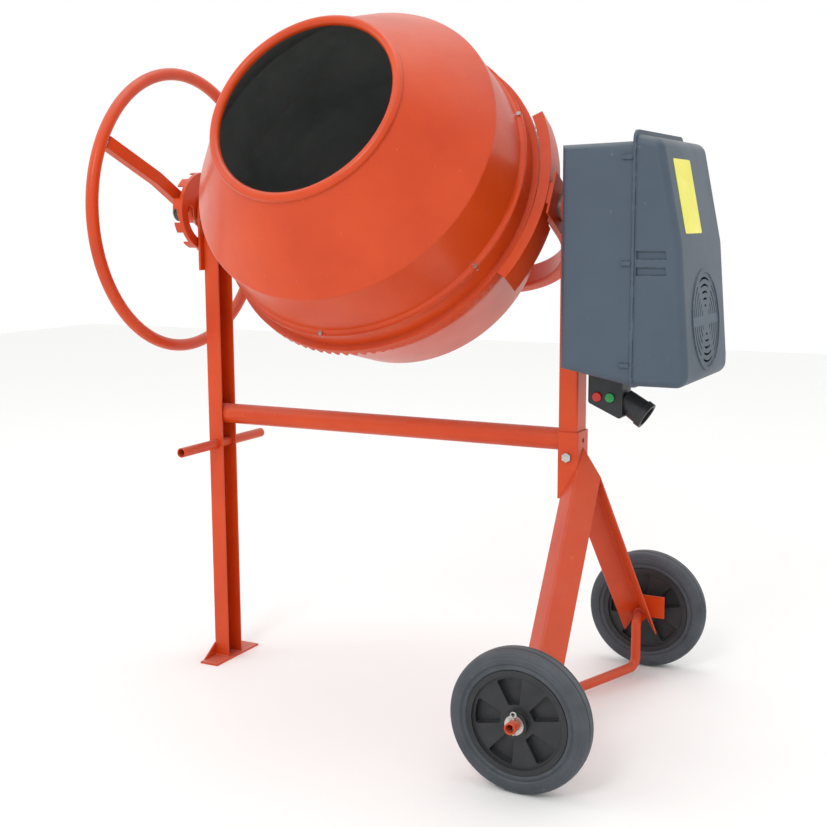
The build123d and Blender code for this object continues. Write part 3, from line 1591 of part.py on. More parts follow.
make_left_upright()
make_left_foot()
make_right_upright()
make_leg_sleeve()
make_tie_bar()
make_pull_handle()
make_cranked_axle()
for wheel_side, place in ((-1, "front"), (1, "rear")):
    make_leg(wheel_side, f"{place}_leg")
    make_axle_bracket(wheel_side, f"{place}_axle_bracket")
    make_tyre(wheel_side, f"{place}_tyre")
    make_hub(wheel_side, f"{place}_hub")
make_axle_hardware()
make_tilt_bearings()
make_locking_disc()
make_stand_bolts()
make_handwheel()
make_lock_spring()
make_yoke()
make_left_shaft()
make_right_trunnion()
make_spindle()
make_drum_upper()
make_drum_lower()
make_flange_bolts()
for blade_index in range(blade_count):
    make_blade(blade_index)
make_drum_hub()
make_ring_gear()
make_pinion()
make_pinion_shaft()
make_pinion_bearings()
make_gear_guard()
make_trunnion_plate()
make_box_shell()
make_box_cover()
make_box_clips()
make_label_plate()
make_pulleys_and_belt()
make_motor_bracket()
make_motor()
make_switch()
make_inlet()
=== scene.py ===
import json
import math
import bmesh
import bpy
from mathutils import Matrix, Vector


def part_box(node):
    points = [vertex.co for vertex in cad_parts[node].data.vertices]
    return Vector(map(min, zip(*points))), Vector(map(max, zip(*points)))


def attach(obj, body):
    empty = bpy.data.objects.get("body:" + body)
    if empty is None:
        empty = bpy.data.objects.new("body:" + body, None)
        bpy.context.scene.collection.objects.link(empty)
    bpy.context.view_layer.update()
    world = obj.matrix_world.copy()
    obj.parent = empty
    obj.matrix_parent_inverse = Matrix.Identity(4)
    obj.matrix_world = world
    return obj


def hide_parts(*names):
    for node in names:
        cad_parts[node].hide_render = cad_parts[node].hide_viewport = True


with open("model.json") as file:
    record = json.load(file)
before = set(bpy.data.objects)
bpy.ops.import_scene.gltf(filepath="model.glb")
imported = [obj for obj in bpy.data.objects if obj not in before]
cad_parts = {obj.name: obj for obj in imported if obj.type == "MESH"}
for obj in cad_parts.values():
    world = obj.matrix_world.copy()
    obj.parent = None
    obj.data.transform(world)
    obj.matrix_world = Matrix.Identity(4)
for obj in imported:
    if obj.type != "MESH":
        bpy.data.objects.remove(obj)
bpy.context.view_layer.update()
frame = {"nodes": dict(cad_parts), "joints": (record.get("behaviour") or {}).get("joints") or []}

nodes = frame["nodes"]
joints = {joint["name"]: joint for joint in frame["joints"]}

# ---------------------------------------------------------------------------------------------
# Stand: pressed steel channels, angle-iron legs, round tie bar and cranked axle tube, welded and
# bolted, then powder coated orange in one coat. The coat is glossy, slightly uneven like orange
# peel, rubbed through on a few edges and dusty on top.
ORANGE = (0.64, 0.066, 0.007, 1)
DEEP_ORANGE = (0.53, 0.044, 0.005, 1)
RUBBED_STEEL = (0.20, 0.16, 0.14, 1)
CEMENT_DUST = (0.46, 0.43, 0.39, 1)


def put(tree, kind, inputs=None, **settings):
    """Adds one shader node, sets its properties, and gives its inputs values or links."""
    shader_node = tree.nodes.new(kind)
    for key, value in settings.items():
        setattr(shader_node, key, value)
    for key, value in (inputs or {}).items():
        if isinstance(value, bpy.types.NodeSocket):
            tree.links.new(value, shader_node.inputs[key])
        else:
            shader_node.inputs[key].default_value = value
    return shader_node


def blend_colour(tree, factor, first, second, mode="MIX"):
    """A colour between two colours, by a mask."""
    mix = put(tree, "ShaderNodeMix", data_type="RGBA", blend_type=mode)
    for index, value in ((0, factor), (6, first), (7, second)):
        if isinstance(value, bpy.types.NodeSocket):
            tree.links.new(value, mix.inputs[index])
        else:
            mix.inputs[index].default_value = value
    return mix.outputs[2]


def calculate(tree, operation, first, second=0.0, clamp=False):
    """One arithmetic node."""
    sum_node = put(tree, "ShaderNodeMath", {0: first, 1: second}, operation=operation)
    sum_node.use_clamp = clamp
    return sum_node.outputs[0]


def spread(tree, value, low, high, to_low=0.0, to_high=1.0):
    """Maps a value from one range to another, clamped."""
    inputs = {0: value, 1: low, 2: high, 3: to_low, 4: to_high}
    return put(tree, "ShaderNodeMapRange", inputs).outputs[0]


def new_group(name, inputs, outputs):
    """A shader node group with named inputs and outputs, and its two end nodes."""
    group = bpy.data.node_groups.new(name, "ShaderNodeTree")
    for label, value in inputs.items():
        socket = group.interface.new_socket(label, in_out="INPUT", socket_type="NodeSocketFloat")
        socket.default_value = value
    for label, kind in outputs.items():
        group.interface.new_socket(label, in_out="OUTPUT", socket_type=kind)
    return group, group.nodes.new("NodeGroupInput"), group.nodes.new("NodeGroupOutput")


# Slow change of tone over a surface, from uneven film thickness or moulding.
drift_group, drift_in, drift_out = new_group(
    "Tone drift", {"Scale": 6.0}, {"Mask": "NodeSocketFloat"}
)
where = put(drift_group, "ShaderNodeTexCoord").outputs["Object"]
clouds = put(
    drift_group,
    "ShaderNodeTexNoise",
    {"Vector": where, "Scale": drift_in.outputs["Scale"], "Detail": 4.0, "Roughness": 0.6},
)
drift_group.links.new(spread(drift_group, clouds.outputs[0], 0.3, 0.7), drift_out.inputs["Mask"])

# Edges rubbed through, where a rounded normal differs from the flat one, broken up by noise.
edge_group, edge_in, edge_out = new_group(
    "Rubbed edges", {"Width": 0.002, "Patch Scale": 30.0, "Cover": 0.5}, {"Mask": "NodeSocketFloat"}
)
true_normal = put(edge_group, "ShaderNodeNewGeometry").outputs["Normal"]
round_normal = put(edge_group, "ShaderNodeBevel", {"Radius": edge_in.outputs["Width"]}, samples=4)
agree = put(
    edge_group,
    "ShaderNodeVectorMath",
    {0: true_normal, 1: round_normal.outputs[0]},
    operation="DOT_PRODUCT",
)
sharp = spread(edge_group, agree.outputs["Value"], 0.97, 0.80)
where = put(edge_group, "ShaderNodeTexCoord").outputs["Object"]
patches = put(
    edge_group,
    "ShaderNodeTexNoise",
    {"Vector": where, "Scale": edge_in.outputs["Patch Scale"], "Detail": 6.0, "Roughness": 0.7},
)
cut = calculate(edge_group, "SUBTRACT", 1.0, edge_in.outputs["Cover"])
broken = spread(
    edge_group, calculate(edge_group, "SUBTRACT", patches.outputs[0], cut), 0.0, 0.06
)
edge_group.links.new(calculate(edge_group, "MULTIPLY", sharp, broken), edge_out.inputs["Mask"])

# Dust and dried cement splashes: thick on faces that look up, and in sparse spots elsewhere.
dust_group, dust_in, dust_out = new_group(
    "Cement dust", {"Lying": 0.4, "Spots": 0.1}, {"Mask": "NodeSocketFloat"}
)
facing = put(dust_group, "ShaderNodeNewGeometry").outputs["Normal"]
height = put(dust_group, "ShaderNodeSeparateXYZ", {0: facing}).outputs["Z"]
where = put(dust_group, "ShaderNodeTexCoord").outputs["Object"]
haze = put(
    dust_group,
    "ShaderNodeTexNoise",
    {"Vector": where, "Scale": 14.0, "Detail": 7.0, "Roughness": 0.65},
)
lying = calculate(
    dust_group, "MULTIPLY", spread(dust_group, height, 0.3, 1.0), haze.outputs[0]
)
lying = calculate(dust_group, "MULTIPLY", lying, dust_in.outputs["Lying"])
flecks = put(
    dust_group, "ShaderNodeTexNoise", {"Vector": where, "Scale": 85.0, "Detail": 3.0}
)
spots = spread(dust_group, flecks.outputs[0], 0.70, 0.76)
spots = calculate(dust_group, "MULTIPLY", spots, dust_in.outputs["Spots"])
dust_group.links.new(
    calculate(dust_group, "ADD", lying, spots, clamp=True), dust_out.inputs["Mask"]
)

# Fine relief of a skin: orange peel in paint, spark texture in plastic, pores in rubber.
skin_group, skin_in, skin_out = new_group(
    "Skin relief",
    {"Scale": 220.0, "Depth": 0.0002, "Edge Width": 0.0015},
    {"Height": "NodeSocketFloat", "Normal": "NodeSocketVector"},
)
where = put(skin_group, "ShaderNodeTexCoord").outputs["Object"]
pores = put(
    skin_group,
    "ShaderNodeTexNoise",
    {"Vector": where, "Scale": skin_in.outputs["Scale"], "Detail": 2.0, "Roughness": 0.5},
)
soft_edge = put(skin_group, "ShaderNodeBevel", {"Radius": skin_in.outputs["Edge Width"]}, samples=4)
relief = put(
    skin_group,
    "ShaderNodeBump",
    {
        "Height": pores.outputs[0],
        "Distance": skin_in.outputs["Depth"],
        "Strength": 1.0,
        "Normal": soft_edge.outputs[0],
    },
)
skin_group.links.new(pores.outputs[0], skin_out.inputs["Height"])
skin_group.links.new(relief.outputs[0], skin_out.inputs["Normal"])


def use_group(tree, group, **values):
    """Places a node group; a name's underscores stand for spaces."""
    shader_node = put(tree, "ShaderNodeGroup", node_tree=group)
    for key, value in values.items():
        shader_node.inputs[key.replace("_", " ")].default_value = value
    return shader_node


def new_material(name):
    """An empty node material: its tree and its Principled shader."""
    material = bpy.data.materials.new(name)
    material.use_nodes = True
    shader = material.node_tree.nodes["Principled BSDF"]
    return material, material.node_tree, shader


def coated(name, light, deep, shine, peel=0.00012, wear=0.42, lying=0.35, spots=0.10):
    """Powder coat: drifting tone, rubbed edges, dust, and a thin clear gloss over it."""
    material, tree, shader = new_material(name)
    drift = use_group(tree, drift_group, Scale=5.0).outputs[0]
    rubbed = use_group(tree, edge_group, Width=0.0018, Patch_Scale=38.0, Cover=wear).outputs[0]
    dust = use_group(tree, dust_group, Lying=lying, Spots=spots).outputs[0]
    skin = use_group(tree, skin_group, Scale=260.0, Depth=peel, Edge_Width=0.0016)
    colour = blend_colour(tree, drift, light, deep)
    colour = blend_colour(tree, rubbed, colour, RUBBED_STEEL)
    colour = blend_colour(tree, dust, colour, CEMENT_DUST)
    tree.links.new(colour, shader.inputs["Base Color"])
    rough = spread(tree, drift, 0.0, 1.0, shine, shine + 0.09)
    rough = calculate(tree, "ADD", rough, calculate(tree, "MULTIPLY", dust, 0.5), clamp=True)
    tree.links.new(rough, shader.inputs["Roughness"])
    metal = calculate(tree, "MULTIPLY", rubbed, 0.7)
    tree.links.new(metal, shader.inputs["Metallic"])
    tree.links.new(skin.outputs["Normal"], shader.inputs["Normal"])
    shader.inputs["Specular IOR Level"].default_value = 0.32
    shader.inputs["Coat Weight"].default_value = 0.10
    shader.inputs["Coat Roughness"].default_value = 0.14
    return material


orange_paint = coated("Orange powder coat", ORANGE, DEEP_ORANGE, 0.34)


WELD_GAP = 0.00001
HARD_EDGE = math.radians(32)


def dress(material, *names):
    """Gives CAD nodes a finish, and smooth shading between their hard edges."""
    for name in names:
        piece = nodes[name]
        for material_slot in piece.material_slots:
            material_slot.material = material
        piece.data.shade_smooth()
        weld = piece.modifiers.new("Joined faces", "WELD")
        weld.merge_threshold = WELD_GAP
        edges = piece.modifiers.new("Hard edges", "EDGE_SPLIT")
        edges.split_angle = HARD_EDGE


dress(
    orange_paint,
    "left_upright",
    "left_foot",
    "right_upright",
    "leg_sleeve",
    "front_leg",
    "rear_leg",
    "front_axle_bracket",
    "rear_axle_bracket",
    "left_bearing_block",
    "right_bearing_block",
    "tie_bar",
    "pull_handle",
    "cranked_axle",
    "locking_disc",
)

# Fillet welds: the tie bar to its end plates, the axle to its brackets and the foot to its post.
# Each is a bead of melted wire with small ripples, under the same coat as the parts it joins.
WELD_RADIUS = 0.0026
WELD_RIPPLE = 0.72
AXLE_WELD_SHARE = 0.8
TIE_BAR_RADIUS = (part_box("tie_bar")[1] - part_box("tie_bar")[0]).y / 2
TIE_PLATE_THICKNESS = 0.004
FOOT_THICKNESS = 0.004
AXLE_RADIUS = 0.010
FOOT_WELD_STEPS = 24


def weld_seam(name, route, radius, body, closed=True):
    """A rippled bead of weld metal laid along a route of points, coated with its parts."""
    curve = bpy.data.curves.new(name, "CURVE")
    curve.dimensions = "3D"
    spline = curve.splines.new("POLY")
    spline.points.add(len(route) - 1)
    for index, place in enumerate(route):
        spline.points[index].co = (*place, 1)
        spline.points[index].radius = 1.0 if index % 3 else WELD_RIPPLE
    spline.use_cyclic_u = closed
    curve.bevel_depth = radius
    curve.bevel_resolution = 3
    curve.materials.append(orange_paint)
    seam = bpy.data.objects.new(name, curve)
    bpy.context.scene.collection.objects.link(seam)
    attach(seam, body)


def ring_route(centre, axis, radius, steps=72):
    """Points on a full circle round an axis."""
    axis = Vector(axis).normalized()
    across = axis.orthogonal().normalized()
    third = axis.cross(across)
    turns = [2 * math.pi * step / steps for step in range(steps)]
    return [
        Vector(centre) + (across * math.cos(t) + third * math.sin(t)) * radius for t in turns
    ]


low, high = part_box("tie_bar")
middle = (low + high) / 2
tie_bar_ends = (
    ("left", low.x + TIE_PLATE_THICKNESS),
    ("right", high.x - TIE_PLATE_THICKNESS),
)
for place, end_x in tie_bar_ends:
    route = ring_route((end_x, middle.y, middle.z), (1, 0, 0), TIE_BAR_RADIUS)
    weld_seam(f"tie_bar_{place}_weld", route, WELD_RADIUS, "stand")
low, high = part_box("left_upright")
foot_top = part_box("left_foot")[0].z + FOOT_THICKNESS
route = [
    Vector((low.x + (high.x - low.x) * step / FOOT_WELD_STEPS, low.y, foot_top))
    for step in range(FOOT_WELD_STEPS + 1)
]
weld_seam("foot_front_weld", route, WELD_RADIUS, "stand", closed=False)
route = [Vector((spot.x, high.y, spot.z)) for spot in route]
weld_seam("foot_rear_weld", route, WELD_RADIUS, "stand", closed=False)
for place in ("front", "rear"):
    low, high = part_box(f"{place}_axle_bracket")
    wheel_low, wheel_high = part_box(f"{place}_hub")
    wheel_middle = (wheel_low + wheel_high) / 2
    inner_y = high.y if place == "front" else low.y
    route = ring_route((wheel_middle.x, inner_y, wheel_middle.z), (0, 1, 0), AXLE_RADIUS)
    weld_seam(f"{place}_axle_weld", route, WELD_RADIUS * AXLE_WELD_SHARE, "stand")

# ---------------------------------------------------------------------------------------------
# Bolts, nuts, washers and split pins: zinc-plated steel, bright with a faint yellow cast. The
# trunnion bushes are sintered bronze, pressed into the bearing blocks.
zinc, tree, shader = new_material("Zinc plate")
drift = use_group(tree, drift_group, Scale=90.0).outputs[0]
skin = use_group(tree, skin_group, Scale=900.0, Depth=0.00005, Edge_Width=0.0008)
colour = blend_colour(tree, drift, (0.62, 0.61, 0.56, 1), (0.40, 0.41, 0.42, 1))
tree.links.new(colour, shader.inputs["Base Color"])
tree.links.new(spread(tree, drift, 0, 1, 0.25, 0.45), shader.inputs["Roughness"])
tree.links.new(skin.outputs["Normal"], shader.inputs["Normal"])
shader.inputs["Metallic"].default_value = 1.0
dress(
    zinc,
    "stand_bolts",
    "flange_bolts",
    "split_pins",
    "axle_washers",
    "spring_washer",
    "inlet_pins",
)

material, tree, shader = new_material("Sintered bronze")
drift = use_group(tree, drift_group, Scale=60.0).outputs[0]
skin = use_group(tree, skin_group, Scale=1200.0, Depth=0.00008, Edge_Width=0.0006)
colour = blend_colour(tree, drift, (0.42, 0.24, 0.10, 1), (0.26, 0.15, 0.07, 1))
tree.links.new(colour, shader.inputs["Base Color"])
tree.links.new(spread(tree, drift, 0, 1, 0.4, 0.6), shader.inputs["Roughness"])
tree.links.new(skin.outputs["Normal"], shader.inputs["Normal"])
shader.inputs["Metallic"].default_value = 1.0
dress(material, "trunnion_bushes")

turned_steel, tree, shader = new_material("Turned steel")
drift = use_group(tree, drift_group, Scale=45.0).outputs[0]
skin = use_group(tree, skin_group, Scale=700.0, Depth=0.00006, Edge_Width=0.0008)
colour = blend_colour(tree, drift, (0.36, 0.35, 0.34, 1), (0.20, 0.18, 0.16, 1))
tree.links.new(colour, shader.inputs["Base Color"])
tree.links.new(spread(tree, drift, 0, 1, 0.28, 0.50), shader.inputs["Roughness"])
tree.links.new(skin.outputs["Normal"], shader.inputs["Normal"])
shader.inputs["Metallic"].default_value = 1.0
dress(
    turned_steel,
    "left_shaft",
    "right_trunnion",
    "drum_spindle",
    "pinion_shaft",
    "pinion_bearings",
    "drum_bearings",
    "motor_pulley",
    "lock_spring",
)

# ---------------------------------------------------------------------------------------------
# Wheels: solid rubber tyre pressed on a black moulded hub. The tyre has a crowned tread with two
# grooves, a step on each side wall and a moulded bead where it meets the hub.
TYRE_RADIUS = (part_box("front_tyre")[1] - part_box("front_tyre")[0]).z / 2
TYRE_WIDTH = (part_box("front_tyre")[1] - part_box("front_tyre")[0]).y
SEAT_RADIUS = (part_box("front_hub")[1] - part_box("front_hub")[0]).z / 2
WHEEL_STEPS = 160


def rounded(corners, arc_steps=6):
    """Outline points with each corner (x, y, radius) drawn as an arc."""
    points = []
    count = len(corners)
    for index, (x, y, radius) in enumerate(corners):
        here = Vector((x, y))
        before = Vector(corners[index - 1][:2]) - here
        after = Vector(corners[(index + 1) % count][:2]) - here
        if radius <= 0 or before.length < 1e-9 or after.length < 1e-9:
            points.append((x, y))
            continue
        before.normalize()
        after.normalize()
        half = math.acos(max(-1.0, min(1.0, before.dot(after)))) / 2
        if half > math.pi / 2 - 0.01:
            points.append((x, y))
            continue
        reach = radius / math.tan(half)
        centre = here + (before + after).normalized() * (radius / math.sin(half))
        start = here + before * reach - centre
        end = here + after * reach - centre
        turn = start.angle_signed(end)
        for step in range(arc_steps + 1):
            spot = start.copy()
            spot.rotate(Matrix.Rotation(-turn * step / arc_steps, 2))
            points.append(tuple(centre + spot))
    return points


def lathe(name, outline, centre, axis, across, steps, closed=True):
    """Turns an outline of (radius, level) round an axis into a mesh object."""
    axis = Vector(axis).normalized()
    across = Vector(across).normalized()
    third = axis.cross(across)
    vertices = []
    for step in range(steps):
        angle = 2 * math.pi * step / steps
        out = across * math.cos(angle) + third * math.sin(angle)
        for radius, level in outline:
            vertices.append(Vector(centre) + out * radius + axis * level)
    count = len(outline)
    faces = []
    for step in range(steps):
        ahead = (step + 1) % steps
        for index in range(count if closed else count - 1):
            after = (index + 1) % count
            faces.append(
                (
                    step * count + index,
                    ahead * count + index,
                    ahead * count + after,
                    step * count + after,
                )
            )
    mesh = bpy.data.meshes.new(name)
    mesh.from_pydata(vertices, [], faces)
    mesh.validate()
    piece = bpy.data.objects.new(name, mesh)
    bpy.context.scene.collection.objects.link(piece)
    shape = bmesh.new()
    shape.from_mesh(mesh)
    bmesh.ops.remove_doubles(shape, verts=shape.verts, dist=0.00002)
    bmesh.ops.recalc_face_normals(shape, faces=shape.faces)
    shape.to_mesh(mesh)
    shape.free()
    return piece


def settle(piece, body, materials, stands_for=(), angle=35.0):
    """Finishes a new piece: materials, smooth shading, its body, and hides the CAD nodes it stands
    for.
    """
    for finish in materials:
        piece.data.materials.append(finish)
    piece.data.shade_smooth()
    piece.data.set_sharp_from_angle(angle=math.radians(angle))
    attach(piece, body)
    if stands_for:
        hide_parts(*stands_for)
    return piece


tyre_rubber, tree, shader = new_material("Tyre rubber")
drift = use_group(tree, drift_group, Scale=18.0).outputs[0]
dust = use_group(tree, dust_group, Lying=0.35, Spots=0.35).outputs[0]
skin = use_group(tree, skin_group, Scale=520.0, Depth=0.00018, Edge_Width=0.001)
colour = blend_colour(tree, drift, (0.054, 0.064, 0.078, 1), (0.036, 0.044, 0.054, 1))
colour = blend_colour(tree, dust, colour, (0.22, 0.21, 0.20, 1))
tree.links.new(colour, shader.inputs["Base Color"])
tree.links.new(spread(tree, drift, 0, 1, 0.50, 0.66), shader.inputs["Roughness"])
tree.links.new(skin.outputs["Normal"], shader.inputs["Normal"])

black_plastic, tree, shader = new_material("Black moulded plastic")
drift = use_group(tree, drift_group, Scale=30.0).outputs[0]
rubbed = use_group(tree, edge_group, Width=0.0012, Patch_Scale=60.0, Cover=0.55).outputs[0]
dust = use_group(tree, dust_group, Lying=0.3, Spots=0.15).outputs[0]
skin = use_group(tree, skin_group, Scale=900.0, Depth=0.00008, Edge_Width=0.0012)
colour = blend_colour(tree, drift, (0.017, 0.019, 0.022, 1), (0.010, 0.011, 0.013, 1))
colour = blend_colour(tree, rubbed, colour, (0.06, 0.062, 0.066, 1))
colour = blend_colour(tree, dust, colour, (0.18, 0.17, 0.16, 1))
tree.links.new(colour, shader.inputs["Base Color"])
tree.links.new(spread(tree, drift, 0, 1, 0.42, 0.56), shader.inputs["Roughness"])
tree.links.new(skin.outputs["Normal"], shader.inputs["Normal"])

half_tyre = TYRE_WIDTH / 2
side_outline = [
    (SEAT_RADIUS, half_tyre - 0.0040, 0.0),
    (SEAT_RADIUS + 0.0030, half_tyre - 0.0012, 0.0012),
    (SEAT_RADIUS + 0.0065, half_tyre - 0.0012, 0.0012),
    (SEAT_RADIUS + 0.0080, half_tyre - 0.0026, 0.0008),
    (SEAT_RADIUS + 0.0100, half_tyre - 0.0026, 0.0008),
    (SEAT_RADIUS + 0.0120, half_tyre, 0.0020),
    (TYRE_RADIUS - 0.0150, half_tyre, 0.0060),
    (TYRE_RADIUS - 0.0128, half_tyre - 0.0014, 0.0008),
    (TYRE_RADIUS - 0.0112, half_tyre - 0.0014, 0.0008),
    (TYRE_RADIUS - 0.0035, half_tyre - 0.0050, 0.0070),
    (TYRE_RADIUS - 0.0010, half_tyre - 0.0110, 0.0040),
    (TYRE_RADIUS - 0.0006, half_tyre - 0.0136, 0.0004),
    (TYRE_RADIUS - 0.0024, half_tyre - 0.0140, 0.0004),
    (TYRE_RADIUS - 0.0024, half_tyre - 0.0160, 0.0004),
    (TYRE_RADIUS - 0.0004, half_tyre - 0.0164, 0.0004),
    (TYRE_RADIUS, 0.0030, 0.0),
]
other_side = [(radius, -level, bend) for radius, level, bend in reversed(side_outline)]
tyre_outline = rounded(side_outline + other_side, 4)
for place in ("front", "rear"):
    low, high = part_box(f"{place}_tyre")
    tyre = lathe(
        f"{place}_tyre_rubber", tyre_outline, (low + high) / 2, (0, 1, 0), (1, 0, 0), WHEEL_STEPS
    )
    settle(tyre, f"{place}_wheel", [tyre_rubber], [f"{place}_tyre"])
    dress(black_plastic, f"{place}_hub")

# ---------------------------------------------------------------------------------------------
# Drum: two deep-drawn 2.5 mm steel shells bolted together by flanges. The mouth is rolled over a
# wire, outside is orange coat, inside is dark primer scoured by gravel and grey with old cement.
DRUM_WALL = 0.0025
MOUTH = (0.1785, 0.354)
BEAD = 0.009
SHOULDER = (0.301, 0.213)
BELLY_RADIUS = 0.306
FLANGE_LEVEL = 0.0933
FLANGE_REACH = 0.010
FLANGE_THICKNESS = 0.003
LOWER_RING = (0.256, -0.165)
BOTTOM_RADIUS = 0.190
BOTTOM_LEVEL = -0.215
DRUM_STEPS = 288
drum_point = Vector(joints["drum_spin"]["pos_m"])
drum_axis = Vector(joints["drum_spin"]["axis"]).normalized()

orange_drum = coated(
    "Orange drum coat", ORANGE, DEEP_ORANGE, 0.28, peel=0.00008, wear=0.40, lying=0.25
)

drum_inside, tree, shader = new_material("Scoured drum inside")
drift = use_group(tree, drift_group, Scale=7.0).outputs[0]
skin = use_group(tree, skin_group, Scale=130.0, Depth=0.0005, Edge_Width=0.002)
where = put(tree, "ShaderNodeTexCoord").outputs["Object"]
crust = put(
    tree, "ShaderNodeTexNoise", {"Vector": where, "Scale": 11.0, "Detail": 9.0, "Roughness": 0.7}
)
crust_mask = spread(tree, crust.outputs[0], 0.52, 0.68)
colour = blend_colour(tree, drift, (0.250, 0.262, 0.256, 1), (0.160, 0.172, 0.168, 1))
colour = blend_colour(
    tree, calculate(tree, "MULTIPLY", crust_mask, 0.35), colour, (0.30, 0.29, 0.27, 1)
)
tree.links.new(colour, shader.inputs["Base Color"])
tree.links.new(spread(tree, crust_mask, 0, 1, 0.42, 0.75), shader.inputs["Roughness"])
tree.links.new(skin.outputs["Normal"], shader.inputs["Normal"])


def bead(centre, radius, start, end, steps):
    """Points on a circle of the section, from one angle to another in degrees."""
    turns = [math.radians(start + (end - start) * step / steps) for step in range(steps + 1)]
    return [(centre[0] + radius * math.cos(t), centre[1] + radius * math.sin(t)) for t in turns]


def open_rounded(corners, arc_steps=6):
    """As rounded, for an outline that isn't closed: the two end corners stay sharp."""
    ends = [(x, y, 0.0) for x, y, _ in (corners[0], corners[-1])]
    return rounded([ends[0], *corners[1:-1], ends[1]], arc_steps)


cone_slope = Vector((SHOULDER[0] - MOUTH[0], SHOULDER[1] - MOUTH[1])).normalized()
upper_out = open_rounded(
    [
        (MOUTH[0] + cone_slope.x * BEAD, MOUTH[1] + cone_slope.y * BEAD, 0),
        (SHOULDER[0], SHOULDER[1], 0.010),
        (BELLY_RADIUS + 0.0004, FLANGE_LEVEL + 0.0085, 0.004),
        (BELLY_RADIUS + 0.0045, FLANGE_LEVEL + FLANGE_THICKNESS, 0.003),
        (BELLY_RADIUS + FLANGE_REACH, FLANGE_LEVEL + FLANGE_THICKNESS, 0.0),
        (BELLY_RADIUS + FLANGE_REACH, FLANGE_LEVEL + 0.0002, 0.0),
        (BELLY_RADIUS - DRUM_WALL, FLANGE_LEVEL + 0.0002, 0),
    ]
)
upper_in = open_rounded(
    [
        (BELLY_RADIUS - DRUM_WALL, FLANGE_LEVEL + 0.0002, 0),
        (BELLY_RADIUS - DRUM_WALL, FLANGE_LEVEL + 0.006, 0.004),
        (SHOULDER[0] - DRUM_WALL, SHOULDER[1] - 0.001, 0.008),
        (MOUTH[0] - BEAD * 0.55 + 0.004, MOUTH[1] - BEAD * 0.85 - 0.004, 0),
    ]
)
bead_points = bead(MOUTH, BEAD, 205, -38, 18)
upper_outline = bead_points + upper_out[1:] + upper_in[1:]
upper = lathe("drum_upper_shell", upper_outline, drum_point, drum_axis, (1, 0, 0), DRUM_STEPS)
settle(upper, "drum", [orange_drum, drum_inside], ["drum_upper"])

lower_out = open_rounded(
    [
        (BELLY_RADIUS + FLANGE_REACH, FLANGE_LEVEL - 0.0002, 0),
        (BELLY_RADIUS + FLANGE_REACH, FLANGE_LEVEL - FLANGE_THICKNESS, 0.0),
        (BELLY_RADIUS + 0.0008, FLANGE_LEVEL - FLANGE_THICKNESS, 0.0006),
        (BELLY_RADIUS, 0.0, 0.040),
        (LOWER_RING[0], LOWER_RING[1], 0.040),
        (BOTTOM_RADIUS, BOTTOM_LEVEL, 0.060),
        (0.0, BOTTOM_LEVEL, 0),
    ],
    10,
)
lower_in = open_rounded(
    [
        (0.0, BOTTOM_LEVEL + DRUM_WALL, 0),
        (BOTTOM_RADIUS - 0.001, BOTTOM_LEVEL + DRUM_WALL, 0.058),
        (LOWER_RING[0] - DRUM_WALL, LOWER_RING[1] + 0.0005, 0.038),
        (BELLY_RADIUS - DRUM_WALL, 0.0, 0.038),
        (BELLY_RADIUS - DRUM_WALL, FLANGE_LEVEL - 0.0002, 0),
    ],
    10,
)
lower = lathe(
    "drum_lower_shell", lower_out + lower_in, drum_point, drum_axis, (1, 0, 0), DRUM_STEPS
)
settle(lower, "drum", [orange_drum, drum_inside], ["drum_lower"])


def line_inside(piece, mouth_limit):
    """Gives the faces that look at the drum's axis or its bottom from within the inside finish."""
    for face in piece.data.polygons:
        offset = face.center - drum_point
        level = offset.dot(drum_axis)
        out = offset - drum_axis * level
        looks_in = face.normal.dot(out.normalized()) < -0.2 or (
            out.length < BOTTOM_RADIUS + 0.02 and face.normal.dot(drum_axis) > 0.5
        )
        if looks_in and level < mouth_limit and level < MOUTH[1] - BEAD * 0.7:
            face.material_index = 1


line_inside(upper, MOUTH[1])
line_inside(lower, FLANGE_LEVEL - 0.004)
dress(drum_inside, "mixing_blade_1", "mixing_blade_2")
dress(orange_paint, "drum_hub", "gear_guard", "trunnion_plate", "ring_gear")

material, tree, shader = new_material("Greased cast gear")
drift = use_group(tree, drift_group, Scale=24.0).outputs[0]
rubbed = use_group(tree, edge_group, Width=0.0015, Patch_Scale=50.0, Cover=0.62).outputs[0]
skin = use_group(tree, skin_group, Scale=240.0, Depth=0.0004, Edge_Width=0.001)
colour = blend_colour(tree, drift, (0.055, 0.050, 0.046, 1), (0.028, 0.026, 0.024, 1))
colour = blend_colour(tree, rubbed, colour, (0.30, 0.28, 0.26, 1))
tree.links.new(colour, shader.inputs["Base Color"])
tree.links.new(spread(tree, drift, 0, 1, 0.40, 0.62), shader.inputs["Roughness"])
tree.links.new(calculate(tree, "MULTIPLY", rubbed, 0.8), shader.inputs["Metallic"])
tree.links.new(skin.outputs["Normal"], shader.inputs["Normal"])
dress(material, "pinion")

# ---------------------------------------------------------------------------------------------
# Yoke and handwheel: flat-sided tube bent round the drum, and a rolled tube ring with a pressed
# spoke welded across it. Both are coated orange with the stand.
dress(orange_paint, "yoke", "handwheel_ring", "handwheel_spoke", "handwheel_hub", "motor_bracket")

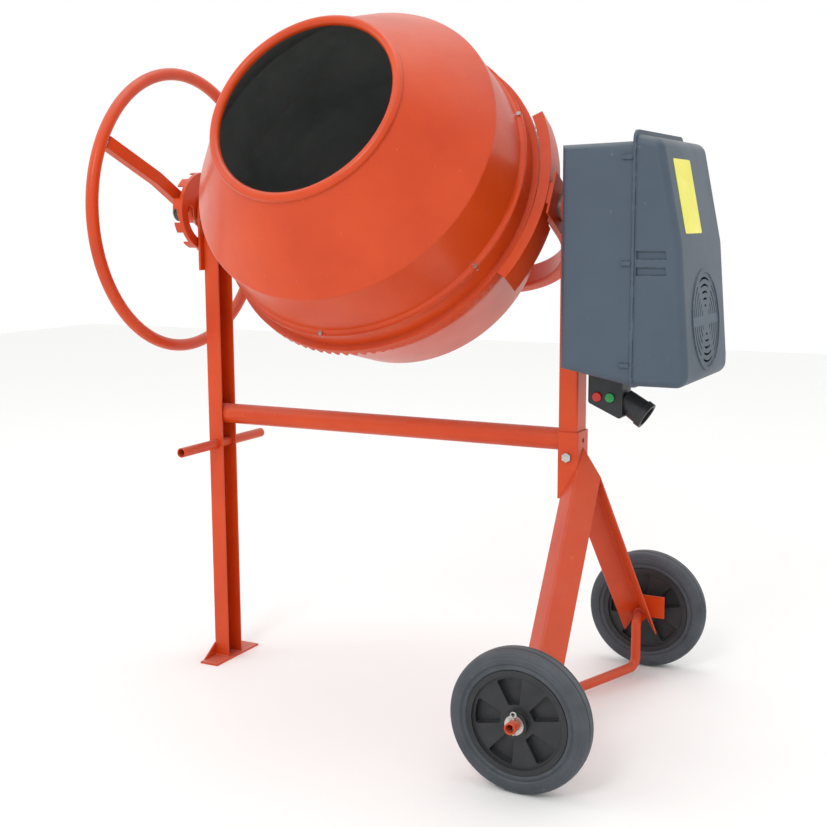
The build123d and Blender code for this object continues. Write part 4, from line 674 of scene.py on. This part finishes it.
# ---------------------------------------------------------------------------------------------
# Drive box: two blow-moulded blue-grey shells, satin with a fine spark texture, snapped together
# by clips. Round vents and a yellow label are on the outer face.
box_plastic, tree, shader = new_material("Blue-grey moulded plastic")
drift = use_group(tree, drift_group, Scale=4.0).outputs[0]
rubbed = use_group(tree, edge_group, Width=0.002, Patch_Scale=45.0, Cover=0.48).outputs[0]
dust = use_group(tree, dust_group, Lying=0.30, Spots=0.12).outputs[0]
skin = use_group(tree, skin_group, Scale=650.0, Depth=0.00012, Edge_Width=0.003)
colour = blend_colour(tree, drift, (0.056, 0.086, 0.120, 1), (0.042, 0.066, 0.094, 1))
colour = blend_colour(tree, rubbed, colour, (0.20, 0.25, 0.30, 1))
colour = blend_colour(tree, dust, colour, CEMENT_DUST)
tree.links.new(colour, shader.inputs["Base Color"])
rough = spread(tree, drift, 0, 1, 0.44, 0.54)
tree.links.new(rough, shader.inputs["Roughness"])
tree.links.new(skin.outputs["Normal"], shader.inputs["Normal"])
dress(box_plastic, "box_shell", "box_cover", "box_clips")
dress(black_plastic, "switch_body", "power_inlet", "cooling_fan", "fan_cap", "big_pulley")

material, tree, shader = new_material("Printed label")
drift = use_group(tree, drift_group, Scale=20.0).outputs[0]
scuffs = use_group(tree, dust_group, Lying=0.2, Spots=0.5).outputs[0]
skin = use_group(tree, skin_group, Scale=500.0, Depth=0.00004, Edge_Width=0.0006)
colour = blend_colour(tree, drift, (0.90, 0.84, 0.075, 1), (0.82, 0.76, 0.060, 1))
colour = blend_colour(tree, scuffs, colour, (0.80, 0.78, 0.60, 1))
tree.links.new(colour, shader.inputs["Base Color"])
tree.links.new(spread(tree, drift, 0, 1, 0.3, 0.42), shader.inputs["Roughness"])
tree.links.new(skin.outputs["Normal"], shader.inputs["Normal"])
dress(material, "label_plate")

# The print on the label is only a column of plain grey bars of a few lengths, with no words.
PRINT_LIFT = 0.00012
PRINT_BARS = 9
BAR_SHARES = (0.72, 0.50, 0.64)
BAR_HALF_HEIGHT = 0.014
FIRST_BAR = 0.14
BAR_SPREAD = 0.72
material, tree, shader = new_material("Label print")
drift = use_group(tree, drift_group, Scale=160.0).outputs[0]
colour = blend_colour(tree, drift, (0.20, 0.16, 0.05, 1), (0.34, 0.28, 0.06, 1))
tree.links.new(colour, shader.inputs["Base Color"])
tree.links.new(spread(tree, drift, 0, 1, 0.35, 0.5), shader.inputs["Roughness"])
low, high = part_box("label_plate")
slope_up = Vector((low.x - high.x, 0, high.z - low.z)).normalized()
slope_out = Vector((slope_up.z, 0, -slope_up.x))
plate_height = (Vector((low.x, 0, high.z)) - Vector((high.x, 0, low.z))).length
foot = Vector((high.x, (low.y + high.y) / 2, low.z)) + slope_out * PRINT_LIFT
plate_width = high.y - low.y
shape = bmesh.new()
for index in range(PRINT_BARS):
    share = BAR_SHARES[index % len(BAR_SHARES)]
    along = FIRST_BAR + BAR_SPREAD * index / (PRINT_BARS - 1)
    middle = foot + slope_up * plate_height * along
    half_across = Vector((0, plate_width * share / 2, 0))
    half_up = slope_up * plate_height * BAR_HALF_HEIGHT
    corners = [
        middle - half_across - half_up,
        middle + half_across - half_up,
        middle + half_across + half_up,
        middle - half_across + half_up,
    ]
    shape.faces.new([shape.verts.new(corner) for corner in corners])
mesh = bpy.data.meshes.new("label_print")
shape.to_mesh(mesh)
shape.free()
bars = bpy.data.objects.new("label_print", mesh)
bpy.context.scene.collection.objects.link(bars)
ink = bars.modifiers.new("Ink film", "SOLIDIFY")
ink.thickness = PRINT_LIFT
settle(bars, "stand", [material])

material, tree, shader = new_material("Ribbed belt rubber")
drift = use_group(tree, drift_group, Scale=40.0).outputs[0]
colour = blend_colour(tree, drift, (0.020, 0.020, 0.021, 1), (0.012, 0.012, 0.012, 1))
tree.links.new(colour, shader.inputs["Base Color"])
tree.links.new(spread(tree, drift, 0, 1, 0.55, 0.7), shader.inputs["Roughness"])
dress(material, "drive_belt")

material, tree, shader = new_material("Cast motor alloy")
drift = use_group(tree, drift_group, Scale=30.0).outputs[0]
skin = use_group(tree, skin_group, Scale=400.0, Depth=0.0002, Edge_Width=0.0008)
colour = blend_colour(tree, drift, (0.34, 0.36, 0.38, 1), (0.24, 0.25, 0.27, 1))
tree.links.new(colour, shader.inputs["Base Color"])
tree.links.new(spread(tree, drift, 0, 1, 0.4, 0.55), shader.inputs["Roughness"])
tree.links.new(skin.outputs["Normal"], shader.inputs["Normal"])
shader.inputs["Metallic"].default_value = 0.8
dress(material, "motor_body")


def button_plastic(name, light, deep):
    """Glossy moulded push button."""
    material, tree, shader = new_material(name)
    drift = use_group(tree, drift_group, Scale=120.0).outputs[0]
    skin = use_group(tree, skin_group, Scale=900.0, Depth=0.00004, Edge_Width=0.0008)
    tree.links.new(blend_colour(tree, drift, light, deep), shader.inputs["Base Color"])
    tree.links.new(spread(tree, drift, 0, 1, 0.18, 0.3), shader.inputs["Roughness"])
    tree.links.new(skin.outputs["Normal"], shader.inputs["Normal"])
    return material


stop_red = button_plastic("Red push button", (0.55, 0.02, 0.02, 1), (0.42, 0.01, 0.01, 1))
dress(stop_red, "stop_button")
start_green = button_plastic("Green push button", (0.02, 0.30, 0.08, 1), (0.01, 0.22, 0.05, 1))
dress(start_green, "start_button")

# ---------------------------------------------------------------------------------------------
# Floor, lights and camera: a plain pale floor under soft studio light, bright all round.
FLOOR_SIZE = 14.0
mesh = bpy.data.meshes.new("studio_floor")
edge = FLOOR_SIZE / 2
mesh.from_pydata(
    [(-edge, -edge, 0), (edge, -edge, 0), (edge, edge, 0), (-edge, edge, 0)], [], [(0, 1, 2, 3)]
)
floor = bpy.data.objects.new("studio_floor", mesh)
bpy.context.scene.collection.objects.link(floor)
material, tree, shader = new_material("Pale floor")
shader.inputs["Base Color"].default_value = (0.92, 0.92, 0.91, 1)
shader.inputs["Roughness"].default_value = 0.75
mesh.materials.append(material)

world = bpy.data.worlds.new("Soft studio")
bpy.context.scene.world = world
world.use_nodes = True
world.node_tree.nodes["Background"].inputs["Color"].default_value = (1.0, 1.0, 1.0, 1)
world.node_tree.nodes["Background"].inputs["Strength"].default_value = 1.0
bpy.context.scene.view_settings.view_transform = "Standard"


def soft_light(name, place, target, size, power):
    """A square area light aimed at a point."""
    lamp = bpy.data.lights.new(name, "AREA")
    lamp.size = size
    lamp.energy = power
    holder = bpy.data.objects.new(name, lamp)
    bpy.context.scene.collection.objects.link(holder)
    holder.location = place
    aim = Vector(target) - Vector(place)
    holder.rotation_euler = aim.to_track_quat("-Z", "Y").to_euler()


soft_light("key_light", (0.3, -3.8, 3.4), (0, 0, 0.9), 1.2, 46)
soft_light("left_light", (-3.4, -1.8, 2.4), (0, 0, 0.8), 1.6, 10)
soft_light("top_light", (0.0, 0.4, 4.4), (0, 0, 0.8), 2.0, 22)

CAMERA_PLACE = Vector((1.16293, -2.25096, 0.95077))
CAMERA_YAW = math.radians(27.474)
CAMERA_PITCH = math.radians(8.588)
CAMERA_ROLL = math.radians(-0.306)
CAMERA_LENS = 56.31
CAMERA_SENSOR = 36.0
forward = Vector(
    (
        -math.sin(CAMERA_YAW) * math.cos(CAMERA_PITCH),
        math.cos(CAMERA_YAW) * math.cos(CAMERA_PITCH),
        -math.sin(CAMERA_PITCH),
    )
)
right = Vector((math.cos(CAMERA_YAW), math.sin(CAMERA_YAW), 0))
above = right.cross(forward)
rolled_right = right * math.cos(CAMERA_ROLL) + above * math.sin(CAMERA_ROLL)
rolled_above = above * math.cos(CAMERA_ROLL) - right * math.sin(CAMERA_ROLL)
lens = bpy.data.cameras.new("camera")
lens.sensor_width = CAMERA_SENSOR
lens.lens = CAMERA_LENS
camera = bpy.data.objects.new("camera", lens)
bpy.context.scene.collection.objects.link(camera)
turned = Matrix((rolled_right, rolled_above, -forward)).transposed().to_4x4()
camera.matrix_world = Matrix.Translation(CAMERA_PLACE) @ turned
bpy.context.scene.camera = camera
